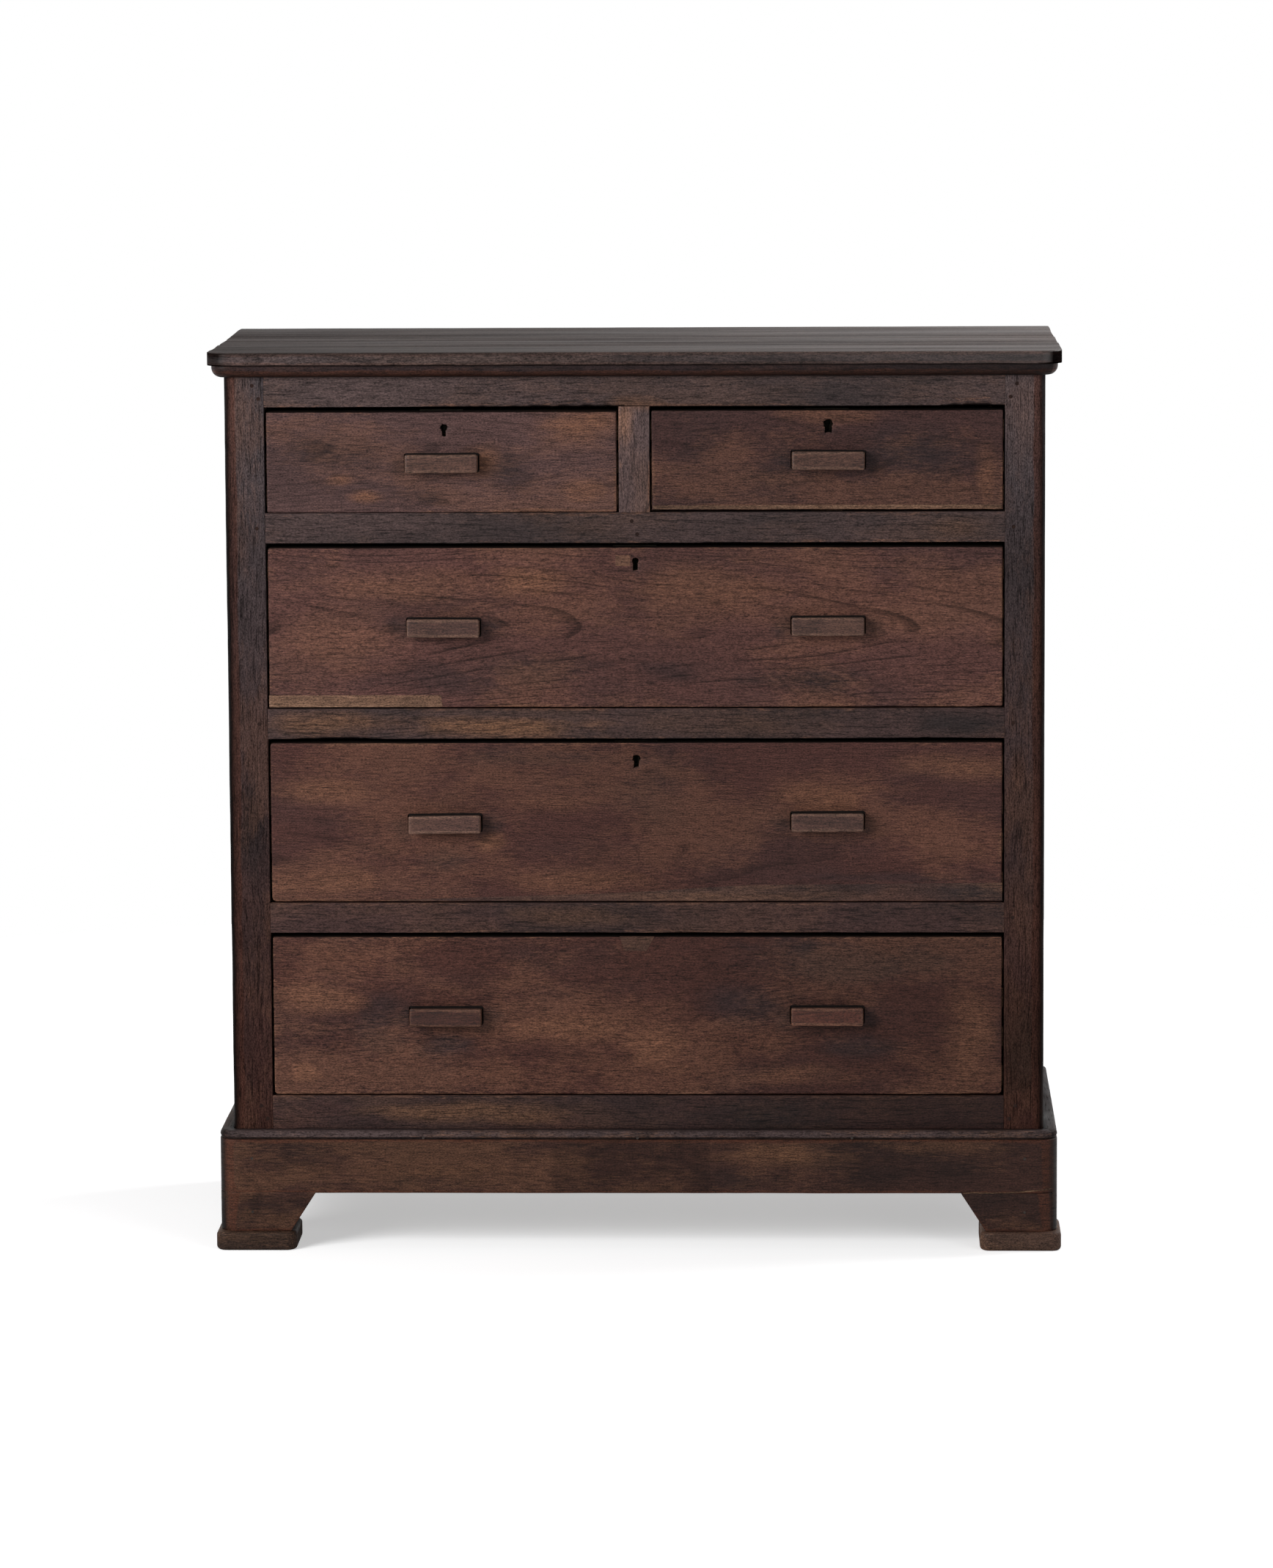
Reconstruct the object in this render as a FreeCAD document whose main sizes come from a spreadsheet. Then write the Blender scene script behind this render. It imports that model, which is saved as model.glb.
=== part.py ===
import FreeCAD, Part
import operator
import os
import Sketcher
from types import SimpleNamespace

# A chest of drawers in teak: two short drawers over three long ones, in a pegged frame on a plinth.
# X runs to the right, Y to the back and Z up, from the middle of the floor under the chest.

# Driving sizes, in millimetres
SIZES = {
    # Case
    "case_width": 1060,
    "case_depth": 459,
    "post_width": 52,
    "post_depth": 46,
    "post_round": 12,
    # Heights, from the floor up
    "pad_height": 25,
    "bracket_height": 51,
    "plinth_height": 71,
    "cap_height": 11.5,
    "bottom_rail_show": 44,
    "long_opening": 215.5,
    "rail_height": 39.5,
    "short_opening": 137,
    "top_rail_show": 39.2,
    "moulding_height": 15.3,
    "top_thickness": 17,
    # Front frame and its joints
    "bottom_rail_height": 70,
    "muntin_width": 40,
    "tenon_length": 30,
    "tenon_thickness": 14,
    "tenon_inset": 12,
    "tenon_shoulder": 5,
    "tenon_wall": 3,
    "mortise_spare": 1,
    "muntin_tenon": 37,
    "muntin_top_tenon": 20,
    "muntin_tenon_back": 4,
    "peg_diameter": 5,
    "peg_spare": 3,
    "peg_near": 7,
    "peg_far": 15,
    "peg_step": 17,
    # Sides and back
    "side_rail_thickness": 22,
    "panel_recess": 8,
    "panel_thickness": 10,
    "panel_groove": 8,
    "back_board_thickness": 10,
    "back_board_gap": 0.6,
    "back_rail_thickness": 20,
    "back_tenon_length": 25,
    # Drawer carriers
    "runner_shelf": 20,
    "runner_tenon": 10,
    "runner_tenon_inset": 6,
    "guide_height": 25,
    "stop_length": 40,
    "stop_height": 8,
    "stop_gap": 0.3,
    "stop_back": 4,
    # Top and base
    "top_overhang": 21,
    "top_corner": 28,
    "top_edge_round": 3,
    "moulding_setback": 5,
    "moulding_round": 13,
    "plinth_projection": 18,
    "plinth_corner": 24,
    "cap_round": 7,
    "round_land": 1,
    "bracket_foot": 93,
    "bracket_splay": 33,
    "foot_projection": 5,
    "pad_length": 106,
    "pad_corner": 10,
    "pad_edge_round": 4,
    "nail_diameter": 3.5,
    "nail_length": 40,
    "nail_inset": 43,
    "nail_rise": 25,
    "cap_nail_rise": 2.5,
    "cap_nail_spacing": 280,
    # Drawers
    "drawer_side_gap": 1.5,
    "drawer_recess": 1,
    "front_thickness": 22,
    "front_lift": 1.7,
    "front_drop": 4,
    "front_edge_round": 1.5,
    "runner_clearance": 0.3,
    "side_thickness": 13,
    "side_drop": 6,
    "back_thickness": 13,
    "back_drop": 6,
    "drawer_back_gap": 16,
    "bottom_rise": 12,
    "bottom_thickness": 8,
    "bottom_groove": 6,
    "tail_length": 15,
    "tail_width": 20,
    "tail_flare": 3,
    # Pulls
    "pull_length": 93,
    "pull_height": 24.4,
    "pull_depth": 21,
    "pull_undercut": 3,
    "pull_edge_round": 3,
    "pull_tenon_diameter": 12,
    "pull_tenon_length": 16,
    "pull_tenon_spread": 25,
    # Locks
    "lock_width": 56,
    "lock_depth": 11,
    "lock_height": 44,
    "chamber_depth": 36,
    "bolt_width": 22,
    "bolt_thickness": 6,
    "bolt_height": 13,
    "bolt_notch": 6,
    "bolt_sink": 0.5,
    "bolt_clearance": 0.3,
    "bolt_mortise": 9,
    "keyhole_diameter": 8,
    "keyhole_slot": 4.4,
    "keyhole_slot_drop": 9,
    "keyhole_drop": 18.5,
    "cut_spare": 1,
}

# Counts
BACK_BOARDS = 7
LONG_FRONT_TAILS = 4
LONG_BACK_TAILS = 3
SHORT_FRONT_TAILS = 3
SHORT_BACK_TAILS = 2

LEFT = -1
RIGHT = 1
HANDS = ((LEFT, "left"), (RIGHT, "right"))
NEAR = 1e-6

doc = FreeCAD.newDocument("Chest")
nodes = {}


class Size:
    """A length or place that follows the sheet: its expression, and its value in millimetres."""

    def __init__(self, text, value):
        self.text = text
        self.value = value

    def __add__(self, other):
        return worked_out(self, "+", other)

    def __sub__(self, other):
        return worked_out(self, "-", other)

    def __mul__(self, other):
        return worked_out(self, "*", other)

    def __truediv__(self, other):
        return worked_out(self, "/", other)

    def __rmul__(self, other):
        return worked_out(other, "*", self)

    def __neg__(self):
        return worked_out(-1, "*", self)


SIGNS = {"+": operator.add, "-": operator.sub, "*": operator.mul, "/": operator.truediv}


def as_size(length):
    return length if isinstance(length, Size) else Size(repr(length), length)


def worked_out(left, sign, right):
    """The sum, difference, product or quotient of two sizes."""
    left = as_size(left)
    right = as_size(right)
    return Size(f"({left.text} {sign} {right.text})", SIGNS[sign](left.value, right.value))


def least(*lengths):
    """The smallest of some sizes, for a rounding that its wall limits."""
    sizes = [as_size(length) for length in lengths]
    return Size(f"min({'; '.join(size.text for size in sizes)})", min(size.value for size in sizes))


def fill_sheet():
    """Writes the driving sizes into the document's sheet and gives them back by name."""
    sheet = doc.addObject("Spreadsheet::Sheet", "Sizes")
    for row, (name, value) in enumerate(SIZES.items(), 1):
        sheet.set(f"A{row}", name)
        sheet.set(f"B{row}", str(value))
        sheet.setAlias(f"B{row}", name)
    doc.recompute()
    return SimpleNamespace(**{name: Size(f"Sizes.{name}", sheet.get(name)) for name in SIZES})


s = fill_sheet()

# Places that many pieces share
FRONT = (s.plinth_projection + s.foot_projection - s.case_depth) / 2
BACK = FRONT + s.case_depth
SIDE = s.case_width / 2
INSIDE = SIDE - s.post_width
FRAME_BACK = FRONT + s.post_depth
REAR_FRAME = BACK - s.post_depth
PANEL_SIDE = SIDE - s.side_rail_thickness
BACK_RAIL_REAR = BACK - s.back_board_thickness
BACK_RAIL_FRONT = BACK_RAIL_REAR - s.back_rail_thickness
DRAWER_REAR = BACK_RAIL_FRONT - s.drawer_back_gap
DRAWER_FACE = FRONT + s.drawer_recess
PLINTH = s.pad_height + s.bracket_height
CAP = PLINTH + s.plinth_height
LOWER = CAP + s.cap_height + s.bottom_rail_show
MIDDLE = LOWER + s.long_opening + s.rail_height
UPPER = MIDDLE + s.long_opening + s.rail_height
SHORT = UPPER + s.long_opening + s.rail_height
TOP_RAIL = SHORT + s.short_opening
MOULDING = TOP_RAIL + s.top_rail_show
SLAB = MOULDING + s.moulding_height
SHORT_MIDDLE = (INSIDE + s.muntin_width / 2) / 2
TENON_FRONT = FRONT + s.tenon_inset
TENON_BACK = TENON_FRONT + s.tenon_thickness
SIDE_TENON = s.post_depth - s.tenon_inset - s.tenon_thickness - s.tenon_wall
MUNTIN_TENON_BACK = FRAME_BACK - s.muntin_tenon_back
MUNTIN_TENON_FRONT = MUNTIN_TENON_BACK - s.tenon_thickness
BOLT_MIDDLE = DRAWER_FACE + s.front_thickness - s.lock_depth / 2

# Front rails, each from its lower to its upper edge
RAILS = {
    "top_rail": (TOP_RAIL, SLAB),
    "upper_rail": (SHORT - s.rail_height, SHORT),
    "middle_rail": (UPPER - s.rail_height, UPPER),
    "lower_rail": (MIDDLE - s.rail_height, MIDDLE),
    "bottom_rail": (LOWER - s.bottom_rail_height, LOWER),
}
SIDE_RAILS = (RAILS["top_rail"], RAILS["bottom_rail"])
BACK_RAILS = (RAILS["top_rail"], RAILS["upper_rail"], RAILS["bottom_rail"])
DRAWER_LEVELS = (LOWER, MIDDLE, UPPER, SHORT)
STRIP_TOPS = DRAWER_LEVELS + (TOP_RAIL + s.rail_height,)


def ordered(pair):
    """The two places of a pair, the lower one first."""
    return sorted((as_size(place) for place in pair), key=lambda place: place.value)


def put(item, x=None, y=None, z=None):
    """Ties an object's position to places along the axes that are given."""
    for axis, place in (("x", x), ("y", y), ("z", z)):
        if place is not None:
            item.setExpression(f"Placement.Base.{axis}", as_size(place).text)


def box(x, y, z):
    """A block between two places along each axis."""
    item = doc.addObject("Part::Box", "Block")
    for length, axis, pair in (("Length", "x", x), ("Width", "y", y), ("Height", "z", z)):
        low, high = ordered(pair)
        item.setExpression(length, (high - low).text)
        put(item, **{axis: low})
    return item


def rod(diameter, x, y, z):
    """A round bar along Y between two places, about a point in X and Z."""
    item = doc.addObject("Part::Cylinder", "Rod")
    low, high = ordered(y)
    item.Placement = FreeCAD.Placement(FreeCAD.Vector(), FreeCAD.Rotation(FreeCAD.Vector(1, 0, 0), -90))
    item.setExpression("Radius", (diameter / 2).text)
    item.setExpression("Height", (high - low).text)
    put(item, x, low, z)
    return item


def tapered(x, x_far, y, z, z_far):
    """A block whose section changes along Y, from x and z at the front to x_far and z_far at the back."""
    item = doc.addObject("Part::Wedge", "Taper")
    for axis, pair in (("X", x), ("X2", x_far), ("Y", y), ("Z", z), ("Z2", z_far)):
        low, high = ordered(pair)
        item.setExpression(f"{axis}min", low.text)
        item.setExpression(f"{axis}max", high.text)
    return item


def join(*items):
    if len(items) == 1:
        return items[0]
    item = doc.addObject("Part::MultiFuse", "Joined")
    item.Shapes = list(items)
    item.Refine = True
    return item


def cut(base, *tools):
    item = doc.addObject("Part::Cut", "Cut")
    item.Base = base
    item.Tool = join(*tools)
    item.Refine = True
    return item


def common(base, tool):
    item = doc.addObject("Part::Common", "Common")
    item.Base = base
    item.Tool = tool
    return item


def mirrored(source):
    """The same piece on the other side of the chest's middle."""
    item = doc.addObject("Part::Mirroring", "Mirrored")
    item.Source = source
    item.Normal = FreeCAD.Vector(1, 0, 0)
    return item


def node(name, *items):
    """Names a finished sub-part; several solids of one kind are grouped under one name."""
    if len(items) == 1:
        item = items[0]
    else:
        item = doc.addObject("Part::Compound", "Group")
        item.Links = list(items)
    item.Label = name
    nodes[name] = item


def padded(plane, corners, height):
    """A body padded square off one of its origin planes, from an outline of straight edges."""
    body = doc.addObject("PartDesign::Body", "Body")
    sketch = body.newObject("Sketcher::SketchObject", "Outline")
    support = next(item for item in body.Origin.OriginFeatures if item.Role == plane)
    sketch.AttachmentSupport = [(support, "")]
    sketch.MapMode = "FlatFace"
    points = [FreeCAD.Vector(across.value, up.value, 0) for across, up in corners]
    ends = points[1:] + points[:1]
    lines = [sketch.addGeometry(Part.LineSegment(*pair), False) for pair in zip(points, ends)]
    for line, following in zip(lines, lines[1:] + lines[:1]):
        sketch.addConstraint(Sketcher.Constraint("Coincident", line, 2, following, 1))
    for line, corner in zip(lines, corners):
        for kind, place in zip(("DistanceX", "DistanceY"), corner):
            limit = sketch.addConstraint(Sketcher.Constraint(kind, -1, 1, line, 1, place.value))
            sketch.setExpression(f"Constraints[{limit}]", place.text)
    pad = body.newObject("PartDesign::Pad", "Pad")
    pad.Profile = sketch
    pad.setExpression("Length", height.text)
    return body


def rounded(body, radius, chosen):
    """Rounds those edges of a body that a test chooses."""
    doc.recompute()
    base = body.Tip
    names = [f"Edge{number}" for number, edge in enumerate(base.Shape.Edges, 1) if chosen(edge)]
    fillet = body.newObject("PartDesign::Fillet", "Rounding")
    fillet.Base = (base, names)
    fillet.setExpression("Radius", radius.text)
    return body


def rectangle(across, up):
    """The corners of a rectangle between two places each way."""
    (left, right), (low, high) = ordered(across), ordered(up)
    return [(left, low), (right, low), (right, high), (left, high)]


def upright(edge):
    bounds = edge.BoundBox
    return max(bounds.XLength, bounds.YLength) < NEAR < bounds.ZLength


def at_front(edge, place):
    """Whether an edge lies wholly in the plane across the chest at a place along Y."""
    return all(abs(point.Y - place.value) < NEAR for point in edge.Vertexes)


def at_height(edge, place):
    return all(abs(point.Z - place) < NEAR for point in edge.Vertexes)


def outside_case(edge):
    """Whether an edge of a strip round the case keeps off the case's own outline."""
    return all(abs(point.X) > SIDE.value + NEAR or point.Y < FRONT.value - NEAR for point in edge.Vertexes)


def surround(projection, corner, low, height):
    """A square-edged strip round the front and both sides of the case, with round front corners."""
    outer = SIDE + projection
    face = FRONT - projection
    outline = [
        (-outer, BACK), (-outer, face), (outer, face), (outer, BACK),
        (SIDE, BACK), (SIDE, FRONT), (-SIDE, FRONT), (-SIDE, BACK),
    ]
    strip = padded("XY_Plane", outline, height)
    rounded(strip, corner, lambda edge: upright(edge) and at_front(edge, face))
    put(strip, z=low)
    return strip


def mitred(strip, reach, low, height):
    """Cuts a strip round the case into its front length and its two side lengths."""
    far_front = (-(SIDE + reach), SIDE + reach)
    heights = (low, low + height)
    mitre = tapered(far_front, (-SIDE, SIDE), (FRONT - reach, FRONT), heights, heights)
    return common(strip, mitre), cut(strip, mitre)


def top_board():
    """The slab, round at its front corners and along its edges."""
    outer = SIDE + s.top_overhang
    edge_face = FRONT - s.top_overhang
    slab = padded("XY_Plane", rectangle((-outer, outer), (edge_face, BACK)), s.top_thickness)
    rounded(slab, s.top_corner, lambda edge: upright(edge) and at_front(edge, edge_face))
    edge_round = least(s.top_edge_round, s.top_thickness / 2 - s.round_land)
    rounded(slab, edge_round, lambda edge: at_height(edge, 0) or at_height(edge, s.top_thickness.value))
    put(slab, z=SLAB)
    node("top_board", slab)


def top_moulding():
    """The ovolo under the slab, its lower outer edge round."""
    projection = s.top_overhang - s.moulding_setback
    strip = surround(projection, s.top_corner - s.moulding_setback, MOULDING, s.moulding_height)
    ovolo = least(s.moulding_round, s.moulding_height - s.round_land, projection - s.round_land)
    rounded(strip, ovolo, lambda edge: at_height(edge, 0) and outside_case(edge))
    node("top_moulding", *mitred(strip, projection + s.cut_spare, MOULDING, s.moulding_height))


def peg_places(name):
    """Where the pegs of a rail stand: how far past the post's inner edge, and how high."""
    low, high = RAILS[name]
    if name == "top_rail":
        high = MOULDING
    if name == "bottom_rail":
        low = CAP + s.cap_height
    middle = (low + high) / 2
    if name in ("top_rail", "bottom_rail"):
        return [(s.peg_far, middle + s.peg_step / 2), (s.peg_near, middle - s.peg_step / 2)]
    return [((s.peg_near + s.peg_far) / 2, middle)]


def frame_pegs():
    """Pegs through the posts into the rail tenons, and through the upper rail into the muntin."""
    depth = (FRONT, TENON_BACK + s.peg_spare)
    pegs = {}
    for name in RAILS:
        for hand, _ in HANDS:
            places = [(hand * (INSIDE + along), height) for along, height in peg_places(name)]
            pegs[name, hand] = [rod(s.peg_diameter, x, depth, height) for x, height in places]
    low, high = RAILS["upper_rail"]
    deep = (FRONT, MUNTIN_TENON_BACK)
    pegs["muntin"] = []
    for hand, _ in HANDS:
        height = (low + high) / 2 - hand * s.peg_step / 2
        pegs["muntin"].append(rod(s.peg_diameter, hand * s.peg_near / 2, deep, height))
    node("frame_pegs", *(peg for group in pegs.values() for peg in group))
    return pegs


def nails():
    """Nails through the plinth, its brackets and its cap into the frame behind."""
    depth = (FRONT - s.plinth_projection, FRONT - s.plinth_projection + s.nail_length)
    corner = SIDE + s.plinth_projection - s.nail_inset
    plinth = [rod(s.nail_diameter, hand * corner, depth, CAP - s.nail_rise) for hand, _ in HANDS]
    bracket = [rod(s.nail_diameter, hand * corner, depth, PLINTH - s.nail_rise) for hand, _ in HANDS]
    cap_height = CAP + s.cap_nail_rise
    cap = [rod(s.nail_diameter, step * s.cap_nail_spacing, depth, cap_height) for step in (-1, 0, 1)]
    node("plinth_nails", *plinth, *bracket, *cap)
    return SimpleNamespace(plinth=plinth, bracket=bracket, cap=cap)


def rail_tenon(hand, name, spare):
    """A rail's tenon at one end, or with some spare length the mortise that it goes into."""
    low, high = RAILS[name]
    x = (hand * INSIDE, hand * (INSIDE + s.tenon_length + spare))
    return box(x, (TENON_FRONT, TENON_BACK), (low + s.tenon_shoulder, high - s.tenon_shoulder))


def muntin_tenons(spare):
    """The muntin's tenons into the upper rail and the top rail, or their mortises."""
    x = (s.tenon_shoulder - s.muntin_width / 2, s.muntin_width / 2 - s.tenon_shoulder)
    y = (MUNTIN_TENON_FRONT, MUNTIN_TENON_BACK)
    return {
        "upper_rail": box(x, y, (SHORT - s.muntin_tenon - spare, SHORT)),
        "top_rail": box(x, y, (TOP_RAIL, TOP_RAIL + s.muntin_top_tenon + spare)),
    }


def bolt_mortise(x, low):
    """The slot in a rail's lower edge that a lock bolt rises into."""
    half_width = s.bolt_width / 2 + s.cut_spare
    half_depth = s.bolt_thickness / 2 + s.cut_spare
    y = (BOLT_MIDDLE - half_depth, BOLT_MIDDLE + half_depth)
    return box((x - half_width, x + half_width), y, (low, low + s.bolt_mortise))


def middle_strip_tenons(level, front, spare):
    """The two stub tenons of a middle runner, either side of the muntin, or their mortises."""
    face = FRAME_BACK if front else BACK_RAIL_FRONT
    way = -1 if front else 1
    near = s.muntin_width / 2
    far = near + s.runner_shelf - s.runner_tenon_inset
    y = (face, face + way * (s.runner_tenon + spare))
    z = (level - s.rail_height + s.runner_tenon_inset, level - s.runner_tenon_inset)
    return [box((hand * near, hand * far), y, z) for hand, _ in HANDS]


def front_rails(pegs, nail_rods):
    """Five front rails, tenoned into the posts and cut for pegs, muntin, lock bolts and middle strips."""
    mortises = muntin_tenons(s.mortise_spare)
    bolts = {
        "top_rail": [bolt_mortise(hand * SHORT_MIDDLE, TOP_RAIL) for hand, _ in HANDS],
        "upper_rail": [bolt_mortise(as_size(0), UPPER + s.long_opening)],
        "middle_rail": [bolt_mortise(as_size(0), MIDDLE + s.long_opening)],
    }
    strips = {
        "top_rail": middle_strip_tenons(STRIP_TOPS[-1], True, s.mortise_spare),
        "upper_rail": middle_strip_tenons(SHORT, True, s.mortise_spare),
    }
    for name, height in RAILS.items():
        blank = box((-INSIDE, INSIDE), (FRONT, FRAME_BACK), height)
        tenons = [rail_tenon(hand, name, 0) for hand, _ in HANDS]
        cuts = pegs[name, LEFT] + pegs[name, RIGHT] + bolts.get(name, []) + strips.get(name, [])
        if name in mortises:
            cuts = cuts + [mortises[name]]
        if name == "upper_rail":
            cuts = cuts + pegs["muntin"]
        if name == "bottom_rail":
            cuts = cuts + nail_rods.cap
        node(name, cut(join(blank, *tenons), *cuts))


def muntin(pegs):
    """The upright between the short drawers."""
    half_width = s.muntin_width / 2
    blank = box((-half_width, half_width), (FRONT, FRAME_BACK), (SHORT, TOP_RAIL))
    node("muntin", cut(join(blank, *muntin_tenons(0).values()), *pegs["muntin"]))


def side_rail_tenon(hand, height, rear, spare):
    """A side rail's tenon into the front or the rear post, or its mortise."""
    low, high = height
    middle = hand * (SIDE - s.side_rail_thickness / 2)
    face = REAR_FRAME if rear else FRAME_BACK
    way = 1 if rear else -1
    x = (middle - s.panel_thickness / 2, middle + s.panel_thickness / 2)
    y = (face, face + way * (SIDE_TENON + spare))
    return box(x, y, (low + s.panel_groove + s.tenon_shoulder, high - s.panel_groove - s.tenon_shoulder))


def panel_block(hand, spare):
    """A side panel, or with some spare the room that its grooves leave for it."""
    outer = SIDE - s.panel_recess
    reach = s.panel_groove + spare
    x = (hand * (outer - s.panel_thickness), hand * outer)
    y = (FRAME_BACK - reach, REAR_FRAME + reach)
    return box(x, y, (LOWER - s.panel_groove, TOP_RAIL + reach))


def side_frames():
    """On each side two rails between the posts, and the panel in their grooves."""
    rails = []
    for hand, word in HANDS:
        room = panel_block(hand, s.mortise_spare)
        for height in SIDE_RAILS:
            blank = box((hand * PANEL_SIDE, hand * SIDE), (FRAME_BACK, REAR_FRAME), height)
            tenons = [side_rail_tenon(hand, height, rear, 0) for rear in (False, True)]
            rails.append(cut(join(blank, *tenons), room))
        node(f"{word}_side_panel", panel_block(hand, 0))
    node("side_rails", *rails)


def back_tenon(hand, height, spare):
    """A back rail's tenon into a rear post, or its mortise."""
    low, high = height
    middle = (BACK_RAIL_FRONT + BACK_RAIL_REAR) / 2
    x = (hand * INSIDE, hand * (INSIDE + s.back_tenon_length + spare))
    y = (middle - s.panel_thickness / 2, middle + s.panel_thickness / 2)
    return box(x, y, (low + s.tenon_shoulder, high - s.tenon_shoulder))


def back_frame():
    """Three rails between the rear posts, and upright boards behind them."""
    levels = (SHORT, STRIP_TOPS[-1])
    strips = [tenon for level in levels for tenon in middle_strip_tenons(level, False, s.mortise_spare)]
    rails = []
    for height in BACK_RAILS:
        blank = box((-INSIDE, INSIDE), (BACK_RAIL_FRONT, BACK_RAIL_REAR), height)
        tenons = [back_tenon(hand, height, 0) for hand, _ in HANDS]
        rails.append(cut(join(blank, *tenons), *strips))
    node("back_rails", *rails)
    pitch = 2 * INSIDE / BACK_BOARDS
    boards = []
    for number in range(BACK_BOARDS):
        left = number * pitch - INSIDE
        x = (left + s.back_board_gap / 2, left + pitch - s.back_board_gap / 2)
        boards.append(box(x, (BACK_RAIL_REAR, BACK), (RAILS["bottom_rail"][0], SLAB)))
    node("back_boards", *boards)


def strip_tenon(hand, level, rear, spare):
    """The stub tenon of a side runner into the front or the rear post, or its mortise."""
    face = REAR_FRAME if rear else FRAME_BACK
    way = 1 if rear else -1
    x = (hand * (INSIDE + s.runner_tenon_inset), hand * (PANEL_SIDE - s.runner_tenon_inset))
    z = (level - s.rail_height + s.runner_tenon_inset, level - s.runner_tenon_inset)
    return box(x, (face, face + way * (s.runner_tenon + spare)), z)


def drawer_carriers():
    """Runners under the drawer sides, guides beside them, and stops behind the fronts."""
    runners = []
    guides = []
    for level in STRIP_TOPS:
        height = (level - s.rail_height, level)
        for hand, _ in HANDS:
            x = (hand * (INSIDE - s.runner_shelf), hand * PANEL_SIDE)
            tenons = [strip_tenon(hand, level, rear, 0) for rear in (False, True)]
            runners.append(join(box(x, (FRAME_BACK, REAR_FRAME), height), *tenons))
    for level in (SHORT, STRIP_TOPS[-1]):
        half_width = s.muntin_width / 2 + s.runner_shelf
        strip = box((-half_width, half_width), (FRAME_BACK, BACK_RAIL_FRONT), (level - s.rail_height, level))
        tenons = middle_strip_tenons(level, True, 0) + middle_strip_tenons(level, False, 0)
        runners.append(join(strip, *tenons))
    for level in DRAWER_LEVELS:
        height = (level, level + s.guide_height)
        for hand, _ in HANDS:
            guides.append(box((hand * INSIDE, hand * PANEL_SIDE), (FRAME_BACK, REAR_FRAME), height))
    half_width = s.muntin_width / 2
    height = (SHORT, SHORT + s.guide_height)
    guides.append(box((-half_width, half_width), (FRAME_BACK, BACK_RAIL_FRONT), height))
    stops = []
    for level in DRAWER_LEVELS:
        for hand, _ in HANDS:
            middle = hand * SHORT_MIDDLE
            x = (middle - s.stop_length / 2, middle + s.stop_length / 2)
            y = (DRAWER_FACE + s.front_thickness + s.stop_gap, FRAME_BACK - s.stop_back)
            stops.append(box(x, y, (level, level + s.stop_height)))
    node("drawer_runners", *runners)
    node("drawer_guides", *guides)
    node("drawer_stops", *stops)


def posts(pegs, nail_rods):
    """Four posts from the foot pads to the slab, cut for all that is let into them."""
    height = SLAB - s.pad_height
    for number, (hand, word) in enumerate(HANDS):
        across = (hand * INSIDE, hand * SIDE)
        room = panel_block(hand, s.mortise_spare)
        front = padded("XY_Plane", rectangle(across, (FRONT, FRAME_BACK)), height)
        outer = hand * SIDE.value
        rounded(front, s.post_round, lambda edge: upright(edge) and at_front(edge, FRONT)
                and abs(edge.CenterOfMass.x - outer) < NEAR)
        put(front, z=s.pad_height)
        rear = box(across, (REAR_FRAME, BACK), (s.pad_height, SLAB))
        side_cuts = {}
        for is_rear in (False, True):
            rails = [side_rail_tenon(hand, rail, is_rear, s.mortise_spare) for rail in SIDE_RAILS]
            strips = [strip_tenon(hand, level, is_rear, s.mortise_spare) for level in STRIP_TOPS]
            side_cuts[is_rear] = rails + strips + [room]
        mortises = [rail_tenon(hand, name, s.mortise_spare) for name in RAILS]
        holes = [peg for name in RAILS for peg in pegs[name, hand]]
        held = [nail_rods.plinth[number], nail_rods.bracket[number]]
        back_mortises = [back_tenon(hand, rail, s.mortise_spare) for rail in BACK_RAILS]
        node(f"front_{word}_post", cut(front, *mortises, *holes, *held, *side_cuts[False]))
        node(f"rear_{word}_post", cut(rear, *back_mortises, *side_cuts[True]))


def plinth(nail_rods):
    """Boards round the foot of the case, the nosed cap on them, and the brackets below them."""
    reach = s.plinth_projection + s.cut_spare
    boards = surround(s.plinth_projection, s.plinth_corner, PLINTH, s.plinth_height)
    front, sides = mitred(boards, reach, PLINTH, s.plinth_height)
    node("plinth_front", cut(front, *nail_rods.plinth))
    node("plinth_sides", sides)

    cap = surround(s.plinth_projection, s.plinth_corner, CAP, s.cap_height)
    nosing = least(s.cap_round, s.cap_height - s.round_land, s.plinth_projection - s.round_land)
    rounded(cap, nosing, lambda edge: at_height(edge, s.cap_height.value) and outside_case(edge))
    cap_front, cap_sides = mitred(cap, reach, CAP, s.cap_height)
    node("plinth_cap", cut(cap_front, *nail_rods.cap), cap_sides)

    skirt = surround(s.plinth_projection, s.plinth_corner, s.pad_height, s.bracket_height)
    outer = SIDE + s.plinth_projection
    foot = outer - s.bracket_foot
    crown = foot - s.bracket_splay
    front_outline = [(-foot, s.pad_height), (foot, s.pad_height), (crown, PLINTH), (-crown, PLINTH)]
    front_arch = padded("XZ_Plane", front_outline, -FRONT + reach)
    near = FRONT - s.plinth_projection + s.bracket_foot
    far = BACK - s.bracket_foot
    side_outline = [
        (near, s.pad_height), (far, s.pad_height),
        (far - s.bracket_splay, PLINTH), (near + s.bracket_splay, PLINTH),
    ]
    side_arch = padded("YZ_Plane", side_outline, 2 * (outer + s.cut_spare))
    put(side_arch, x=-(outer + s.cut_spare))
    brackets = cut(skirt, front_arch, side_arch)
    front_brackets, side_brackets = mitred(brackets, reach, s.pad_height, s.bracket_height)
    node("bracket_feet", cut(front_brackets, *nail_rods.bracket), side_brackets)


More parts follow.
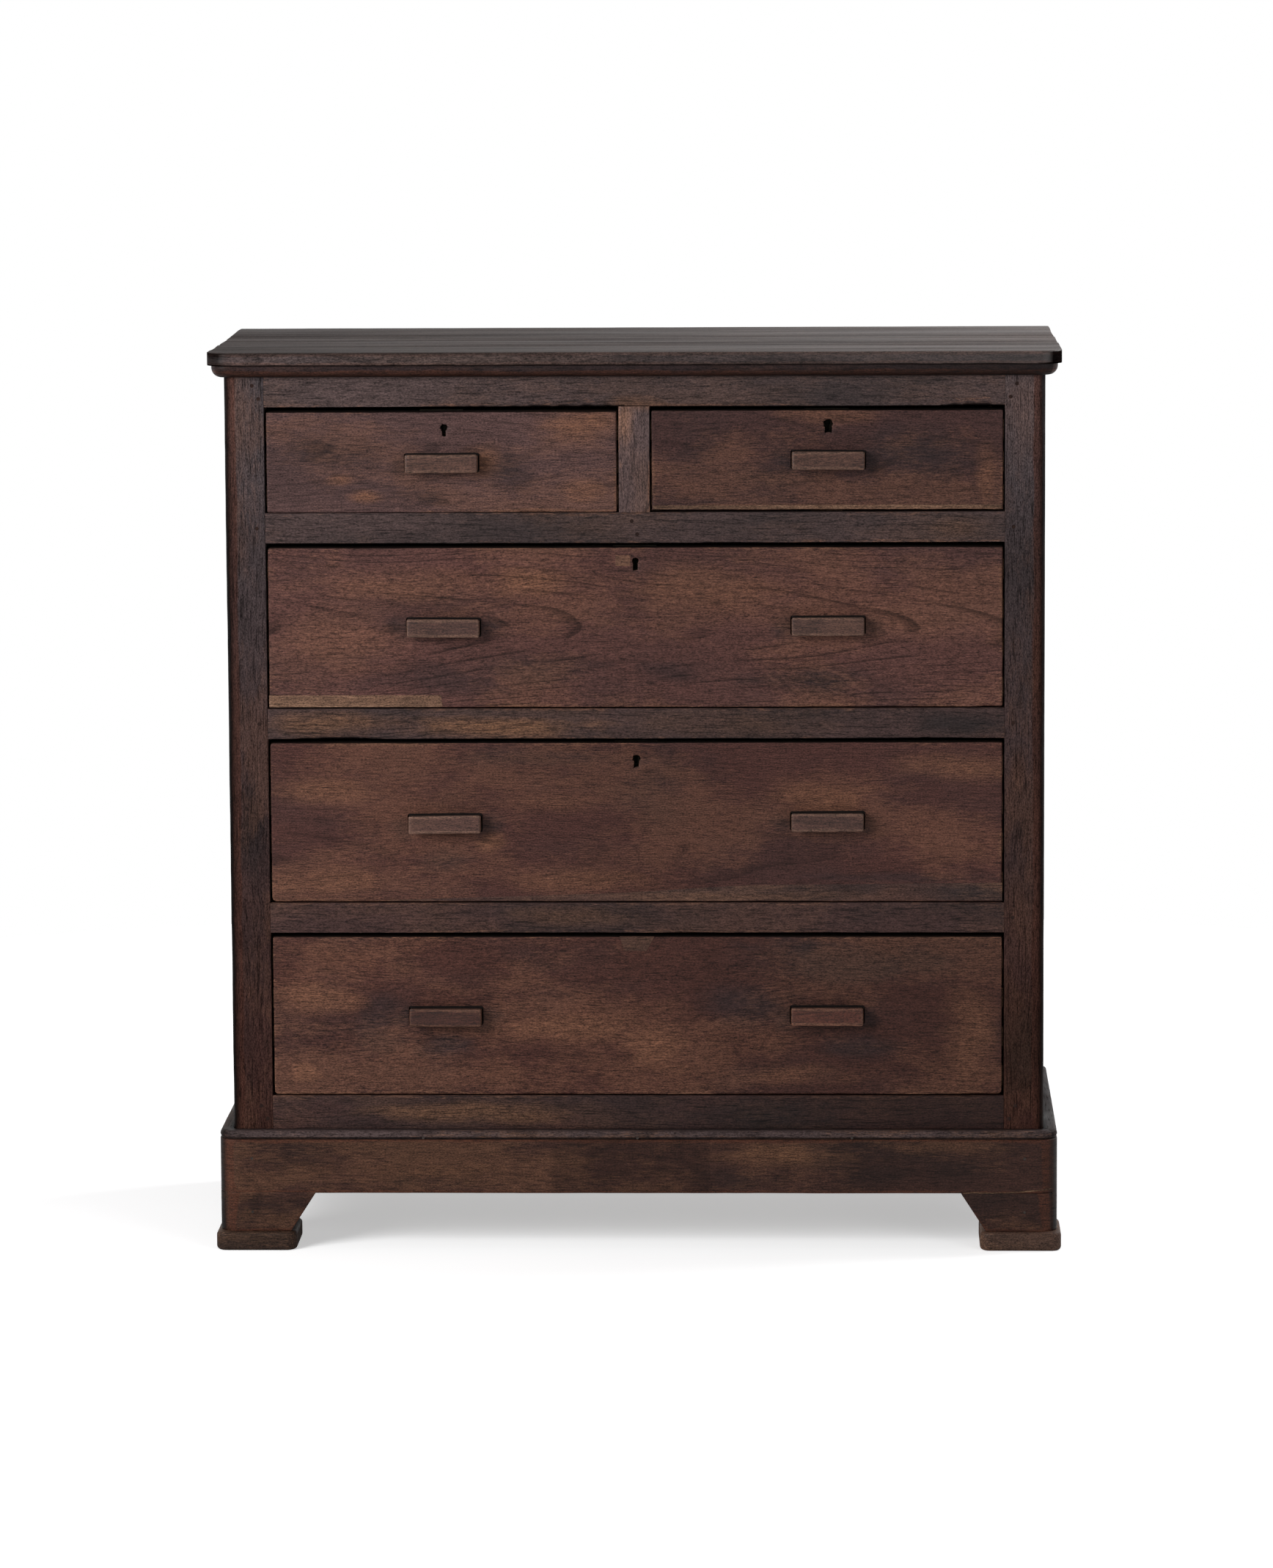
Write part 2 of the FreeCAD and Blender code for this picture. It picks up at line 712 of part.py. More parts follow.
def foot_pads():
    """Four pads with round corners and worn edges, a little wider than the plinth."""
    outer = SIDE + s.plinth_projection + s.foot_projection
    face = FRONT - s.plinth_projection - s.foot_projection
    pads = []
    for depth in ((face, face + s.pad_length), (BACK - s.pad_length, BACK)):
        pad = padded("XY_Plane", rectangle((outer - s.pad_length, outer), depth), s.pad_height)
        rounded(pad, s.pad_corner, upright)
        edge_round = least(s.pad_edge_round, s.pad_height / 2 - s.round_land)
        rounded(pad, edge_round, lambda edge: at_height(edge, 0) or at_height(edge, s.pad_height.value))
        pads += [mirrored(pad), pad]
    node("foot_pads", *pads)


def pull(middle, height):
    """A block pull, undercut above and below, with two round tenons into the front."""
    high = s.pull_height / 2
    root = high - s.pull_undercut
    tip = DRAWER_FACE - s.pull_depth
    section = [
        (DRAWER_FACE, height - root), (DRAWER_FACE, height + root),
        (tip, height + high), (tip, height - high),
    ]
    block = padded("YZ_Plane", section, s.pull_length)
    rounded(block, s.pull_edge_round, lambda edge: at_front(edge, tip))
    put(block, x=middle - s.pull_length / 2)
    depth = (DRAWER_FACE, DRAWER_FACE + s.pull_tenon_length)
    places = [middle + hand * s.pull_tenon_spread for hand, _ in HANDS]
    tenons = [rod(s.pull_tenon_diameter, x, depth, height) for x in places]
    return join(block, *tenons), tenons


def tails(x, root, tip, low, high, count):
    """Dovetails along the end of a drawer side, narrow at the root and wide at the tip."""
    pitch = (high - low) / count
    made = []
    for number in range(count):
        middle = low + pitch * (number + 0.5)
        narrow = (middle - s.tail_width / 2, middle + s.tail_width / 2)
        wide = (narrow[0] - s.tail_flare, narrow[1] + s.tail_flare)
        at_low, at_high = (wide, narrow) if tip.value < root.value else (narrow, wide)
        made.append(tapered(x, x, (root, tip), at_low, at_high))
    return made


def keyhole(x, centre):
    """A keyhole from the drawer's face into the lock: a round hole with a slot below it."""
    y = (DRAWER_FACE - s.cut_spare, BOLT_MIDDLE)
    end = centre - s.keyhole_slot_drop
    slot = box((x - s.keyhole_slot / 2, x + s.keyhole_slot / 2), y, (end, centre))
    return [rod(s.keyhole_diameter, x, y, centre), slot, rod(s.keyhole_slot, x, y, end)]


def lock(name, x, high, hole):
    """A half-mortise lock let into the back of a drawer front, and its bolt; gives back the lock's block."""
    rear = DRAWER_FACE + s.front_thickness
    half_lock = s.lock_width / 2
    block = box((x - half_lock, x + half_lock), (rear - s.lock_depth, rear), (high - s.lock_height, high))
    half_bolt = s.bolt_width / 2
    half_thick = s.bolt_thickness / 2
    room_x = half_bolt + s.bolt_clearance
    room_y = half_thick + s.bolt_clearance
    chamber = box((x - room_x, x + room_x), (BOLT_MIDDLE - room_y, BOLT_MIDDLE + room_y),
                  (high - s.chamber_depth, high))
    node(f"{name}_lock", cut(block, chamber, *hole))
    bolt_top = high - s.bolt_sink
    bolt_y = (BOLT_MIDDLE - half_thick, BOLT_MIDDLE + half_thick)
    bolt = box((x - half_bolt, x + half_bolt), bolt_y, (bolt_top - s.bolt_height, bolt_top))
    node(f"{name}_lock_bolt", cut(bolt, rod(s.bolt_notch, x, bolt_y, bolt_top - s.bolt_height)))
    return block


def drawer(name, opening_x, opening_low, opening_height, tail_counts, pull_middles, locked):
    """One drawer: a front with its pulls, two dovetailed sides, a back and a bottom let into grooves."""
    left = opening_x[0] + s.drawer_side_gap
    right = opening_x[1] - s.drawer_side_gap
    rear = DRAWER_FACE + s.front_thickness
    low = opening_low + s.front_lift
    high = opening_low + opening_height - s.front_drop
    foot = opening_low + s.runner_clearance
    side_top = high - s.side_drop
    bottom_low = foot + s.bottom_rise
    bottom_high = bottom_low + s.bottom_thickness
    back_face = DRAWER_REAR - s.back_thickness
    back_top = side_top - s.back_drop
    inner = (left + s.side_thickness, right - s.side_thickness)

    sides = []
    front_tails = []
    back_tails = []
    for hand, outer in ((LEFT, left), (RIGHT, right)):
        inner_face = outer - hand * s.side_thickness
        x = (outer, inner_face)
        front_set = tails(x, rear, rear - s.tail_length, foot, side_top, tail_counts[0])
        back_set = tails(x, back_face, DRAWER_REAR, bottom_high, back_top, tail_counts[1])
        board = box(x, (rear, back_face), (foot, side_top))
        heel = box(x, (back_face, DRAWER_REAR), (foot, bottom_high))
        groove_x = (inner_face, inner_face + hand * s.bottom_groove)
        groove = box(groove_x, (rear, DRAWER_REAR), (bottom_low, bottom_high))
        sides.append(cut(join(board, heel, *front_set, *back_set), groove))
        front_tails += front_set
        back_tails += back_set
    node(f"{name}_drawer_sides", *sides)
    back = box((left, right), (back_face, DRAWER_REAR), (bottom_high, back_top))
    node(f"{name}_drawer_back", cut(back, *back_tails))

    panel_x = (inner[0] - s.bottom_groove, inner[1] + s.bottom_groove)
    panel = box(panel_x, (rear, DRAWER_REAR), (bottom_low, bottom_high))
    tongue = box(inner, (rear - s.bottom_groove, rear), (bottom_low, bottom_high))
    node(f"{name}_drawer_bottom", join(panel, tongue))

    pull_height = (low + high) / 2
    pulls = [pull(middle, pull_height) for middle in pull_middles]
    node(f"{name}_drawer_pulls", *(block for block, _ in pulls))

    cuts = front_tails + [tongue] + [tenon for _, tenons in pulls for tenon in tenons]
    if locked:
        middle = (opening_x[0] + opening_x[1]) / 2
        hole = keyhole(middle, high - s.keyhole_drop)
        cuts += hole + [lock(name, middle, high, hole)]
    blank = padded("XZ_Plane", rectangle((left, right), (low, high)), s.front_thickness)
    rounded(blank, s.front_edge_round, lambda edge: at_front(edge, -s.front_thickness))
    put(blank, y=rear)
    node(f"{name}_drawer_front", cut(blank, *cuts))


def drawers():
    """Two short drawers beside the muntin, and three long ones below."""
    half_muntin = s.muntin_width / 2
    short_tails = (SHORT_FRONT_TAILS, SHORT_BACK_TAILS)
    drawer("top_left", (-INSIDE, -half_muntin), SHORT, s.short_opening, short_tails, [-SHORT_MIDDLE], True)
    drawer("top_right", (half_muntin, INSIDE), SHORT, s.short_opening, short_tails, [SHORT_MIDDLE], True)
    long_tails = (LONG_FRONT_TAILS, LONG_BACK_TAILS)
    middles = [-SHORT_MIDDLE, SHORT_MIDDLE]
    for name, level, locked in (("upper", UPPER, True), ("middle", MIDDLE, True), ("lower", LOWER, False)):
        drawer(name, (-INSIDE, INSIDE), level, s.long_opening, long_tails, middles, locked)


def write_nodes():
    """Checks every object of the document, then writes each sub-part to its own file."""
    doc.recompute()
    failed = [item.Label for item in doc.Objects if {"Invalid", "Error"} & set(item.State)]
    if failed:
        raise RuntimeError(f"objects that failed: {failed}")
    for name, item in nodes.items():
        if item.Shape.isNull() or not item.Shape.isValid() or not item.Shape.Solids:
            raise RuntimeError(f"{name} has no sound shape")
    os.makedirs("parts", exist_ok=True)
    for name, item in nodes.items():
        item.Shape.exportStep(f"parts/{name}.step")
    print(f"{len(nodes)} sub-parts written")


peg_rods = frame_pegs()
nail_set = nails()
top_board()
top_moulding()
front_rails(peg_rods, nail_set)
muntin(peg_rods)
side_frames()
back_frame()
drawer_carriers()
posts(peg_rods, nail_set)
plinth(nail_set)
foot_pads()
drawers()
write_nodes()
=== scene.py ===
import bpy
import numpy as np
from mathutils import Matrix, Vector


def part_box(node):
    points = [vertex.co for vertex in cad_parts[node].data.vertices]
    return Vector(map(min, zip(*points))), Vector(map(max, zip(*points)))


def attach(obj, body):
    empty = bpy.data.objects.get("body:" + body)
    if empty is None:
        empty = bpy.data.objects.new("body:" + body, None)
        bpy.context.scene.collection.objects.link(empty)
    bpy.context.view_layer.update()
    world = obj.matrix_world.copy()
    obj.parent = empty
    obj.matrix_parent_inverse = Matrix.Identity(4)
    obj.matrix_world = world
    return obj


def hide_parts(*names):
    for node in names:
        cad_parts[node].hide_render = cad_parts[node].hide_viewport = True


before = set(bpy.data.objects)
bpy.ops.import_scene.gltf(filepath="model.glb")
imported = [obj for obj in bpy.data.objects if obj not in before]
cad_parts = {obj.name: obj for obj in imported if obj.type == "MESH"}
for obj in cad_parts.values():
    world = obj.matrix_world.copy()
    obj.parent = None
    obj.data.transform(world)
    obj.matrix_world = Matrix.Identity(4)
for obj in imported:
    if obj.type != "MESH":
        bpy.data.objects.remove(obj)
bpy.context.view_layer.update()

# Foot pads
# Four blocks of teak under the brackets, sawn square, rounded at their corners and worn round
# where they are pushed over the floor. Each is nailed up into the end of its post.
on_arris = 0.0004  # the distance to an arris that counts as on it


def wander(place, step, seed):
    """A smooth random line: values from -1 to 1 drawn a step apart, joined by half cosine waves."""
    count = 997
    drawn = np.random.default_rng(seed).uniform(-1, 1, count)
    cell = np.floor(place / step).astype(int)
    ease = (1 - np.cos(np.pi * (place / step - cell))) / 2
    return drawn[cell % count] * (1 - ease) + drawn[(cell + 1) % count] * ease


def shares(width, near):
    """Places along a flat as shares of its width: close to both of its ends, and its middle."""
    close = np.array([place for place in near if place < 0.4 * width]) / width
    return np.concatenate([close, [0.5], 1 - close[::-1]])


def worn_bar(length, across, deep, radii, ends=0.0007, wear=0.35, seed=0, chips=(), step=0.008,
             near=(0.003, 0.01, 0.03)):
    """A rectangle with four round corners carried along a line.

    The corner radii wander along the length by a share, wear, and a chip (corner, place, half
    length, depth) swells one of them by a parabola. At both ends the rectangle draws in along a
    quarter circle. Gives the rings in the bar's own coordinates (along, across, deep), and their
    distance to an arris.
    """
    least, slow, quick, splinter = 0.0002, 0.06, 0.014, 0.006
    sizes = (across[1] - across[0], deep[1] - deep[0])
    turn = np.linspace(0, np.pi / 2, 5 if max(radii) < 0.008 else 10)
    lead = ends * (1 - np.cos(turn))
    tuck = ends * (1 - np.sin(turn))
    middle = np.linspace(ends, length - ends, max(4, round(length / step)))[1:-1]
    along = np.concatenate([lead, middle, length - lead[::-1]])
    drawn_in = np.concatenate([tuck, 0 * middle, tuck[::-1]])
    arcs = []
    for corner, (right, top) in enumerate(((0, 0), (1, 0), (1, 1), (0, 1))):
        deepest = max([depth for chipped, _, _, depth in chips if chipped == corner], default=0)
        limit = max(0.48 * min(sizes), 1.05 * radii[corner] + deepest)
        draw = 20 * seed + corner
        rough = wander(along, slow, draw) + 0.6 * wander(along, quick, draw + 4)
        radius = radii[corner] * (1 + wear * rough)
        for chipped, place, half_length, depth in chips:
            if chipped == corner:
                bite = np.clip(1 - ((along - place) / half_length) ** 2, 0, 1)
                radius = radius + depth * bite * (1 + 0.6 * wander(along, splinter, 20 * seed + 8))
        radius = np.clip(radius, least, limit)
        radius = radius - np.minimum(drawn_in, 0.9 * radius)
        side = np.where(right, across[1] - drawn_in - radius, across[0] + drawn_in + radius)
        level = np.where(top, deep[1] - drawn_in - radius, deep[0] + drawn_in + radius)
        angle = np.pi * (1 + corner / 2) + turn
        arcs.append(np.stack([side[:, None] + radius[:, None] * np.cos(angle),
                              level[:, None] + radius[:, None] * np.sin(angle)], 2))
    section = []
    arris = []
    for corner, arc in enumerate(arcs):
        width = sizes[corner % 2]
        share = shares(width, near)
        following = arcs[(corner + 1) % 4][:, :1]
        section += [arc, arc[:, -1:] + (following - arc[:, -1:]) * share[None, :, None]]
        arris += [0 * turn, np.minimum(share, 1 - share) * width]
    section = np.concatenate(section, 1)
    rings = np.concatenate([np.repeat(along[:, None, None], section.shape[1], 1), section], 2)
    from_end = np.minimum(along, length - along)
    return rings, np.minimum(np.concatenate(arris)[None, :], from_end[:, None] + on_arris)


def skin(points, quads, corners, grain, edge, tone):
    """A closed skin as arrays; its faces are turned over if its signed volume is below 0."""
    fan = np.concatenate([quads[:, [0, 1, 2]], quads[:, [0, 2, 3]], corners])
    first, second, third = (points[fan[:, place]] for place in range(3))
    if np.sum(first * np.cross(second, third)) < 0:
        quads, corners = quads[:, ::-1], corners[:, ::-1]
    return {"points": points, "quads": quads, "corners": corners, "grain": grain,
            "edge": edge, "tone": np.full(len(points), tone)}


def cut_from(seed):
    """Where in the tree a piece was cut: a random shift of its grain along, across and inwards."""
    return np.random.default_rng(seed).uniform(-1, 1, 3) * (4, 0.05, 9)


def bar_skin(rings, edge, place, seed, tone=0.0, order=(0, 1, 2)):
    """Joins neighbouring rings by quads and closes the end rings to their middles.

    The function place puts it in space, and order turns the grain. A tone for each point of the
    rings is 0 at the two middles.
    """
    count, width = rings.shape[:2]
    ends = rings[[0, -1]].mean(1)
    local = np.concatenate([rings.reshape(-1, 3), ends])
    ring, spot = np.meshgrid(np.arange(count - 1), np.arange(width), indexing="ij")
    here = ring * width + spot
    beside = ring * width + (spot + 1) % width
    quads = np.stack([here, beside, beside + width, here + width], 2).reshape(-1, 4)
    spot = np.arange(width)
    ahead = (spot + 1) % width
    last = (count - 1) * width
    head = np.stack([np.full(width, count * width), ahead, spot], 1)
    foot = np.stack([np.full(width, count * width + 1), last + spot, last + ahead], 1)
    distance = np.append(edge, [0.01, 0.01])
    if np.ndim(tone):
        tone = np.append(tone, [0, 0])
    return skin(place(local), quads, np.concatenate([head, foot]),
                local[:, list(order)] + cut_from(seed), distance, tone)


def upright(side=0.0, back=0.0, foot=0.0):
    """Stands a bar up: along goes up, across to the right, deep to the rear, then all are moved."""
    return lambda at: at[:, [1, 2, 0]] + (side, back, foot)


def piece(name, skins, finish, body, slot, *nodes):
    """One named object out of its skins; it rides on a body and stands for CAD nodes."""
    starts = np.cumsum([0] + [len(part["points"]) for part in skins[:-1]])
    faces = [row for part, start in zip(skins, starts) for kind in ("quads", "corners")
             for row in (part[kind] + start).tolist()]
    mesh = bpy.data.meshes.new(name)
    mesh.from_pydata(np.concatenate([part["points"] for part in skins]).tolist(), [], faces)
    for label, kind, field in (("grain", "FLOAT_VECTOR", "vector"), ("edge", "FLOAT", "value"),
                               ("tone", "FLOAT", "value")):
        layer = mesh.attributes.new(label, kind, "POINT")
        layer.data.foreach_set(field, np.concatenate([part[label] for part in skins]).ravel())
    mesh.polygons.foreach_set("use_smooth", np.ones(len(mesh.polygons), bool))
    mesh.materials.append(finish)
    made = bpy.data.objects.new(name, mesh)
    bpy.context.scene.collection.objects.link(made)
    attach(made, body)
    if nodes:
        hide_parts(*nodes)


class Wire:
    """A node's output in a material; sums, differences and products of wires add Math nodes."""

    def __init__(self, tree, output=None):
        self.tree = tree
        self.output = output

    def node(self, kind, settings, values, output=0):
        """Adds a node: first its settings, then each socket's value or wire."""
        made = self.tree.nodes.new("ShaderNode" + kind)
        for name, setting in settings.items():
            setattr(made, name, setting)
        for name, value in values.items():
            if isinstance(value, Wire):
                self.tree.links.new(value.output, made.inputs[name])
            else:
                made.inputs[name].default_value = value
        return Wire(self.tree, made.outputs[output])

    def feed(self, socket):
        """Links this wire to a shader's socket."""
        self.tree.links.new(self.output, socket)

    def math(self, operation, *values):
        """Adds a Math node on wires and numbers."""
        return self.node("Math", {"operation": operation}, dict(enumerate(values)))

    def __add__(self, other):
        return self.math("ADD", self, other)

    def __radd__(self, other):
        return self.math("ADD", other, self)

    def __sub__(self, other):
        return self.math("SUBTRACT", self, other)

    def __rsub__(self, other):
        return self.math("SUBTRACT", other, self)

    def __mul__(self, other):
        return self.math("MULTIPLY", self, other)

    def __rmul__(self, other):
        return self.math("MULTIPLY", other, self)


def mottle(vector, stretch, detail=3.0, roughness=0.55):
    """Noise between 0 and 1 on a vector stretched to so many cells in a metre along each axis."""
    spread = vector.node("VectorMath", {"operation": "MULTIPLY"}, {0: vector, 1: stretch})
    return spread.node("TexNoise", {}, {"Vector": spread, "Scale": 1.0, "Detail": detail,
                                        "Roughness": roughness})


def step_up(value, low, high):
    """A soft step from 0 to 1 as a value goes from low to high."""
    return value.node("MapRange", {"interpolation_type": "SMOOTHSTEP"},
                      {"Value": value, "From Min": low, "From Max": high})


def blend(share, first, second, way="MIX"):
    """One colour going over into another by a share."""
    wire = next(item for item in (share, first, second) if isinstance(item, Wire))
    first, second = (item if isinstance(item, Wire) else (*item, 1) for item in (first, second))
    return wire.node("Mix", {"data_type": "RGBA", "blend_type": way},
                     {0: share, 6: first, 7: second}, 2)


def part_of(vector, axis):
    """One of a vector's three numbers."""
    return vector.node("SeparateXYZ", {}, {"Vector": vector}, axis)


def new_finish(name):
    """An empty material: the material, a wire to start from, and its surface shader's sockets."""
    made = bpy.data.materials.new(name)
    made.use_nodes = True
    return made, Wire(made.node_tree), made.node_tree.nodes["Principled BSDF"].inputs


def old_teak(name, dark, plain, warm, worn, spots=(), high=None, stain=0.35, glow=0.3, figure=0.35,
             rub=0.3, pores=0.4, bands=0.0, dust_and_shade=None, rough=0.46, shine=0.1, coat=0.0, axes=None):
    """Teak darkened by age and wax.

    Everything follows the grain: arched growth lines where across squared plus along passes a
    whole number, fibres and pores from stretched noise, stains and rubbed places from broad noise
    and from spots (side, height, two half sizes, amount below 0 for dark and above for warm),
    lighter wood where the distance to an arris is small, and a colour (share, colour, 1 or -1) laid
    on what faces up or down: dusty grey on the top, painted shade on rails, fronts and pulls. The
    plain colour goes over into a second, greyer one, high, towards the top of the case, a painted
    sheen. With bands, the wax is a coat whose sheen changes in broad streaks and grows from left to
    right. Pieces with no grain of their own take it from Object coordinates by axes.
    """
    finish, start, sockets = new_finish(name)
    place = start.node("TexCoord", {}, {}, "Object")
    if axes is None:
        grain = start.node("Attribute", {"attribute_name": "grain"}, {}, "Vector")
        edge = start.node("Attribute", {"attribute_name": "edge"}, {}, "Fac")
        tone = start.node("Attribute", {"attribute_name": "tone"}, {}, "Fac")
    else:
        grain = start.node("Mapping", {"vector_type": "POINT"}, {"Vector": place, "Rotation": axes})
        edge = None
        tone = 0.0
    drift = mottle(grain, (2.2, 7, 7), 2.0)
    bent = start.node("CombineXYZ", {}, {"X": 0.0, "Y": drift * 0.04 - 0.02, "Z": 0.0})
    wavy = start.node("VectorMath", {"operation": "ADD"}, {0: grain, 1: bent})
    across = part_of(wavy, "Y")
    ring = (across * across * 700.0 + part_of(wavy, "X") * 7.0
            + mottle(grain, (1.8, 7, 7), 2.0) * 3.0)
    saw = ring.math("FRACT", ring)
    line = step_up(saw, 0.72, 0.96) * (1 - step_up(saw, 0.96, 1.0))
    line = line * step_up(mottle(grain, (9, 40, 40), 2.0), 0.40, 0.62)
    fibre = mottle(wavy, (80, 560, 560), 2.0, 0.6)
    grit = mottle(grain, (380, 760, 760), 2.0, 0.6)
    dash = step_up(mottle(wavy, (28, 480, 480), 2.0, 0.5), 0.54, 0.70)
    streak = mottle(wavy, (5, 110, 110), 4.0, 0.6)
    broad = mottle(grain, (3.0, 7.5, 7.5), 3.0)
    patch = mottle(grain, (11, 24, 24), 4.0, 0.62)
    rubbed = mottle(grain, (5, 11, 16), 4.0, 0.6)
    stained = step_up(broad + patch * 0.35, 0.60, 0.84) * stain
    lit = step_up(rubbed + fibre * 0.25 + patch * 0.2, 0.66, 0.86) * glow
    if spots:
        ragged = start.node("CombineXYZ", {}, {"X": patch * 2.4 - 1.2, "Y": 0.0,
                                               "Z": rubbed * 2.4 - 1.2})
        for side, height, wide, tall, amount in spots:
            near = start.node("VectorMath", {"operation": "MULTIPLY_ADD"},
                              {0: place, 1: (1 / wide, 0, 1 / tall),
                               2: (-side / wide, 0, -height / tall)})
            near = start.node("VectorMath", {"operation": "ADD"}, {0: near, 1: ragged})
            far = start.node("VectorMath", {"operation": "LENGTH"}, {0: near}, "Value")
            spot = 1 - step_up(far, 0.2, 1.45)
            if amount > 0:
                lit = lit.math("MAXIMUM", lit, spot * amount * (0.25 + fibre * 0.8))
            else:
                stained = stained.math("MAXIMUM", stained, spot * -amount)
    # Painted sheen: the plain colour goes greyer towards the top of the case.
    if high is not None:
        plain = blend(step_up(part_of(place, "Z"), 0.05, 1.2), plain, high)
    colour = blend(lit, blend(stained, plain, dark), warm)
    shade = (1 + (streak - 0.5) * 0.4 + (fibre - 0.5) * 1.7 + (grit - 0.5) * 3.0
             + (patch - 0.5) * 0.3)
    if bands:
        swept = mottle(wavy, (1.3, 20, 20), 3.0, 0.65)
        shade = shade + (swept - 0.5) * bands
        sheen = 0.2 + step_up(swept, 0.2, 0.8) * 0.8
        sheen = sheen * (0.65 + step_up(part_of(place, "X"), -0.45, 0.70) * 0.68) * coat
        sheen = sheen * step_up(1 + tone, 0.1, 0.35)
        sheen.feed(sockets["Coat Weight"])
        sockets["Coat Roughness"].default_value = 0.42
    shade = shade.math("MAXIMUM", shade, 0.12) * (1 + tone)
    shade = shade * (1 - line * figure) * (1 - dash * pores)
    if edge is not None:
        bare = 1 - step_up(edge + (patch - 0.5) * 0.008, 0.0006, 0.0036)
        held = 0.4 * rub
        bare = bare * step_up(rubbed * 0.6 + fibre * 0.4, 0.62 - held, 0.72 - held)
        colour = blend(bare * 0.7, colour, worn)
    # Laid on faces that look up or down: dusty grey on the top; on rails, fronts and pulls it is
    # painted shade.
    if dust_and_shade is not None:
        share, dust_and_shade_colour, way = dust_and_shade
        upward = part_of(start.node("NewGeometry", {}, {}, "Normal"), "Z")
        dusted_and_shaded = step_up(upward * way, 0.45, 0.95) * (0.75 + streak * 0.5) * share
        colour = blend(dusted_and_shaded, colour, dust_and_shade_colour)
    blend(1.0, colour, shade, "MULTIPLY").feed(sockets["Base Color"])
    gloss = rough + (patch - 0.5) * 0.35 + dash * 0.14 + (streak - 0.5) * 0.3
    gloss.feed(sockets["Roughness"])
    height = fibre * 0.7 + streak * 0.4 + patch * 0.4 - dash * 0.6 - line * 0.3
    bump = start.node("Bump", {}, {"Height": height, "Strength": 0.35, "Distance": 0.0006})
    bump.feed(sockets["Normal"])
    sockets["Specular IOR Level"].default_value = shine
    return finish


foot_teak = old_teak("foot_teak", dark=(0.012, 0.009, 0.008), plain=(0.038, 0.021, 0.0150),
                     warm=(0.085, 0.044, 0.025), worn=(0.08, 0.044, 0.028), stain=0.4, glow=0.5,
                     rough=0.55)
pad_size = 0.106
pad_height = 0.025
pad_round = 0.014
pad_outer = np.array((0.553, 0.241))
pads = []
for number, (side, back, tone) in enumerate(((-1, -1, -0.22), (1, -1, 0.42),
                                             (-1, 1, 0.0), (1, 1, 0.05))):
    rings, edge = worn_bar(pad_height, (0, pad_size), (0, pad_size), (pad_round,) * 4, ends=0.0054,
                           wear=0.12, seed=300 + number, step=0.003)
    corner = np.array([side, back]) * (pad_outer - pad_size / 2) - pad_size / 2
    pads.append(bar_skin(rings, edge, upright(*corner), seed=310 + number, tone=tone,
                         order=(1, 2, 0)))
piece("foot_pads_worn", pads, foot_teak, "carcase", "frame_teak", "foot_pads")


# Plinth, brackets and cap
# Teak boards round the foot of the case, mitred at the round front corners and nailed to the posts.
# Splayed brackets are glued under them, one with its glue line open, and a nosed strip caps them.
plinth_outer = 0.548
plinth_face = -0.236
plinth_corner = 0.024
plinth_thick = 0.018
plinth_low = 0.076
plinth_high = 0.147
case_back = 0.241
round_about = (0, -1, 1)  # the front, the left and the right length of a strip
sunk = 0.00015            # how far worn faces lie back, so that pegs and nail heads show


def round_case(outer, face, corner, way):
    """How a strip goes round the case, and how long it is.

    Along follows the rounded corner and the straight, and across goes outwards. The front runs
    from mitre to mitre: an eighth circle, a straight and an eighth circle. A side starts at its
    mitre with an eighth circle and goes straight back; the left one is the right one mirrored.
    """
    arc = corner * np.pi / 4
    straight = 2 * (outer - corner)

    def place(at):
        """Past is what lies on the straight, and the rest of along turns round the corner."""
        along, out, height = at[:, 0], at[:, 1], at[:, 2]
        if way == 0:
            past = np.clip(along - arc, 0, straight)
            angle = np.pi * 1.25 + (along - past) / corner
            side = past - straight / 2 + (corner + out) * np.cos(angle)
            back = face + corner + (corner + out) * np.sin(angle)
        else:
            past = np.maximum(along - arc, 0)
            angle = np.pi * 1.75 + (along - past) / corner
            side = way * (outer - corner + (corner + out) * np.cos(angle))
            back = face + corner + past + (corner + out) * np.sin(angle)
        return np.stack([side, back, height], 1)

    return place, straight + 2 * arc if way == 0 else case_back - face - corner + arc


def corner_wear_and_shade(rings, edge, way, length=None):
    """Marks a strip by its distance off a mitre, or off the nearer of two where a length is given.

    A front board is rubbed red at the bend and darkens at the mitre; a side board is painted black
    there, as shade on the round turned away from the lamps.
    """
    off = rings[:, :, 0] if length is None else np.minimum(rings[:, :, 0], length - rings[:, :, 0])
    if way:
        return edge, np.interp(off, (0, 0.005, 0.016, 0.034), (-0.6, -0.87, -0.87, 0))
    bend = np.maximum(np.abs(off - 0.009) - 0.004, 0) + on_arris
    return np.minimum(edge, bend), np.interp(off, (0, 0.005), (-0.6, 0))


plinth_spots = [
    (-0.49, 0.048, 0.07, 0.024, -0.5), (-0.258, 0.112, 0.144, 0.020, 0.9),
    (-0.432, 0.102, 0.058, 0.016, 0.75), (0.183, 0.127, 0.086, 0.018, 1.2),
    (-0.46, 0.142, 0.07, 0.008, -0.6), (-0.30, 0.095, 0.02, 0.010, -0.7),
    (0.125, 0.093, 0.057, 0.016, -0.6), (0.412, 0.103, 0.076, 0.021, -0.6),
    (0.30, 0.098, 0.06, 0.018, -0.6)]
plinth_teak = old_teak("plinth_teak", dark=(0.0115, 0.007, 0.0065), plain=(0.034, 0.0150, 0.0113),
                       warm=(0.092, 0.043, 0.0235), worn=(0.058, 0.0195, 0.0108),
                       spots=plinth_spots, stain=0.6, glow=0.5, figure=0.2, rub=0.8)
plinth_grain = 330
plinth_skins = []
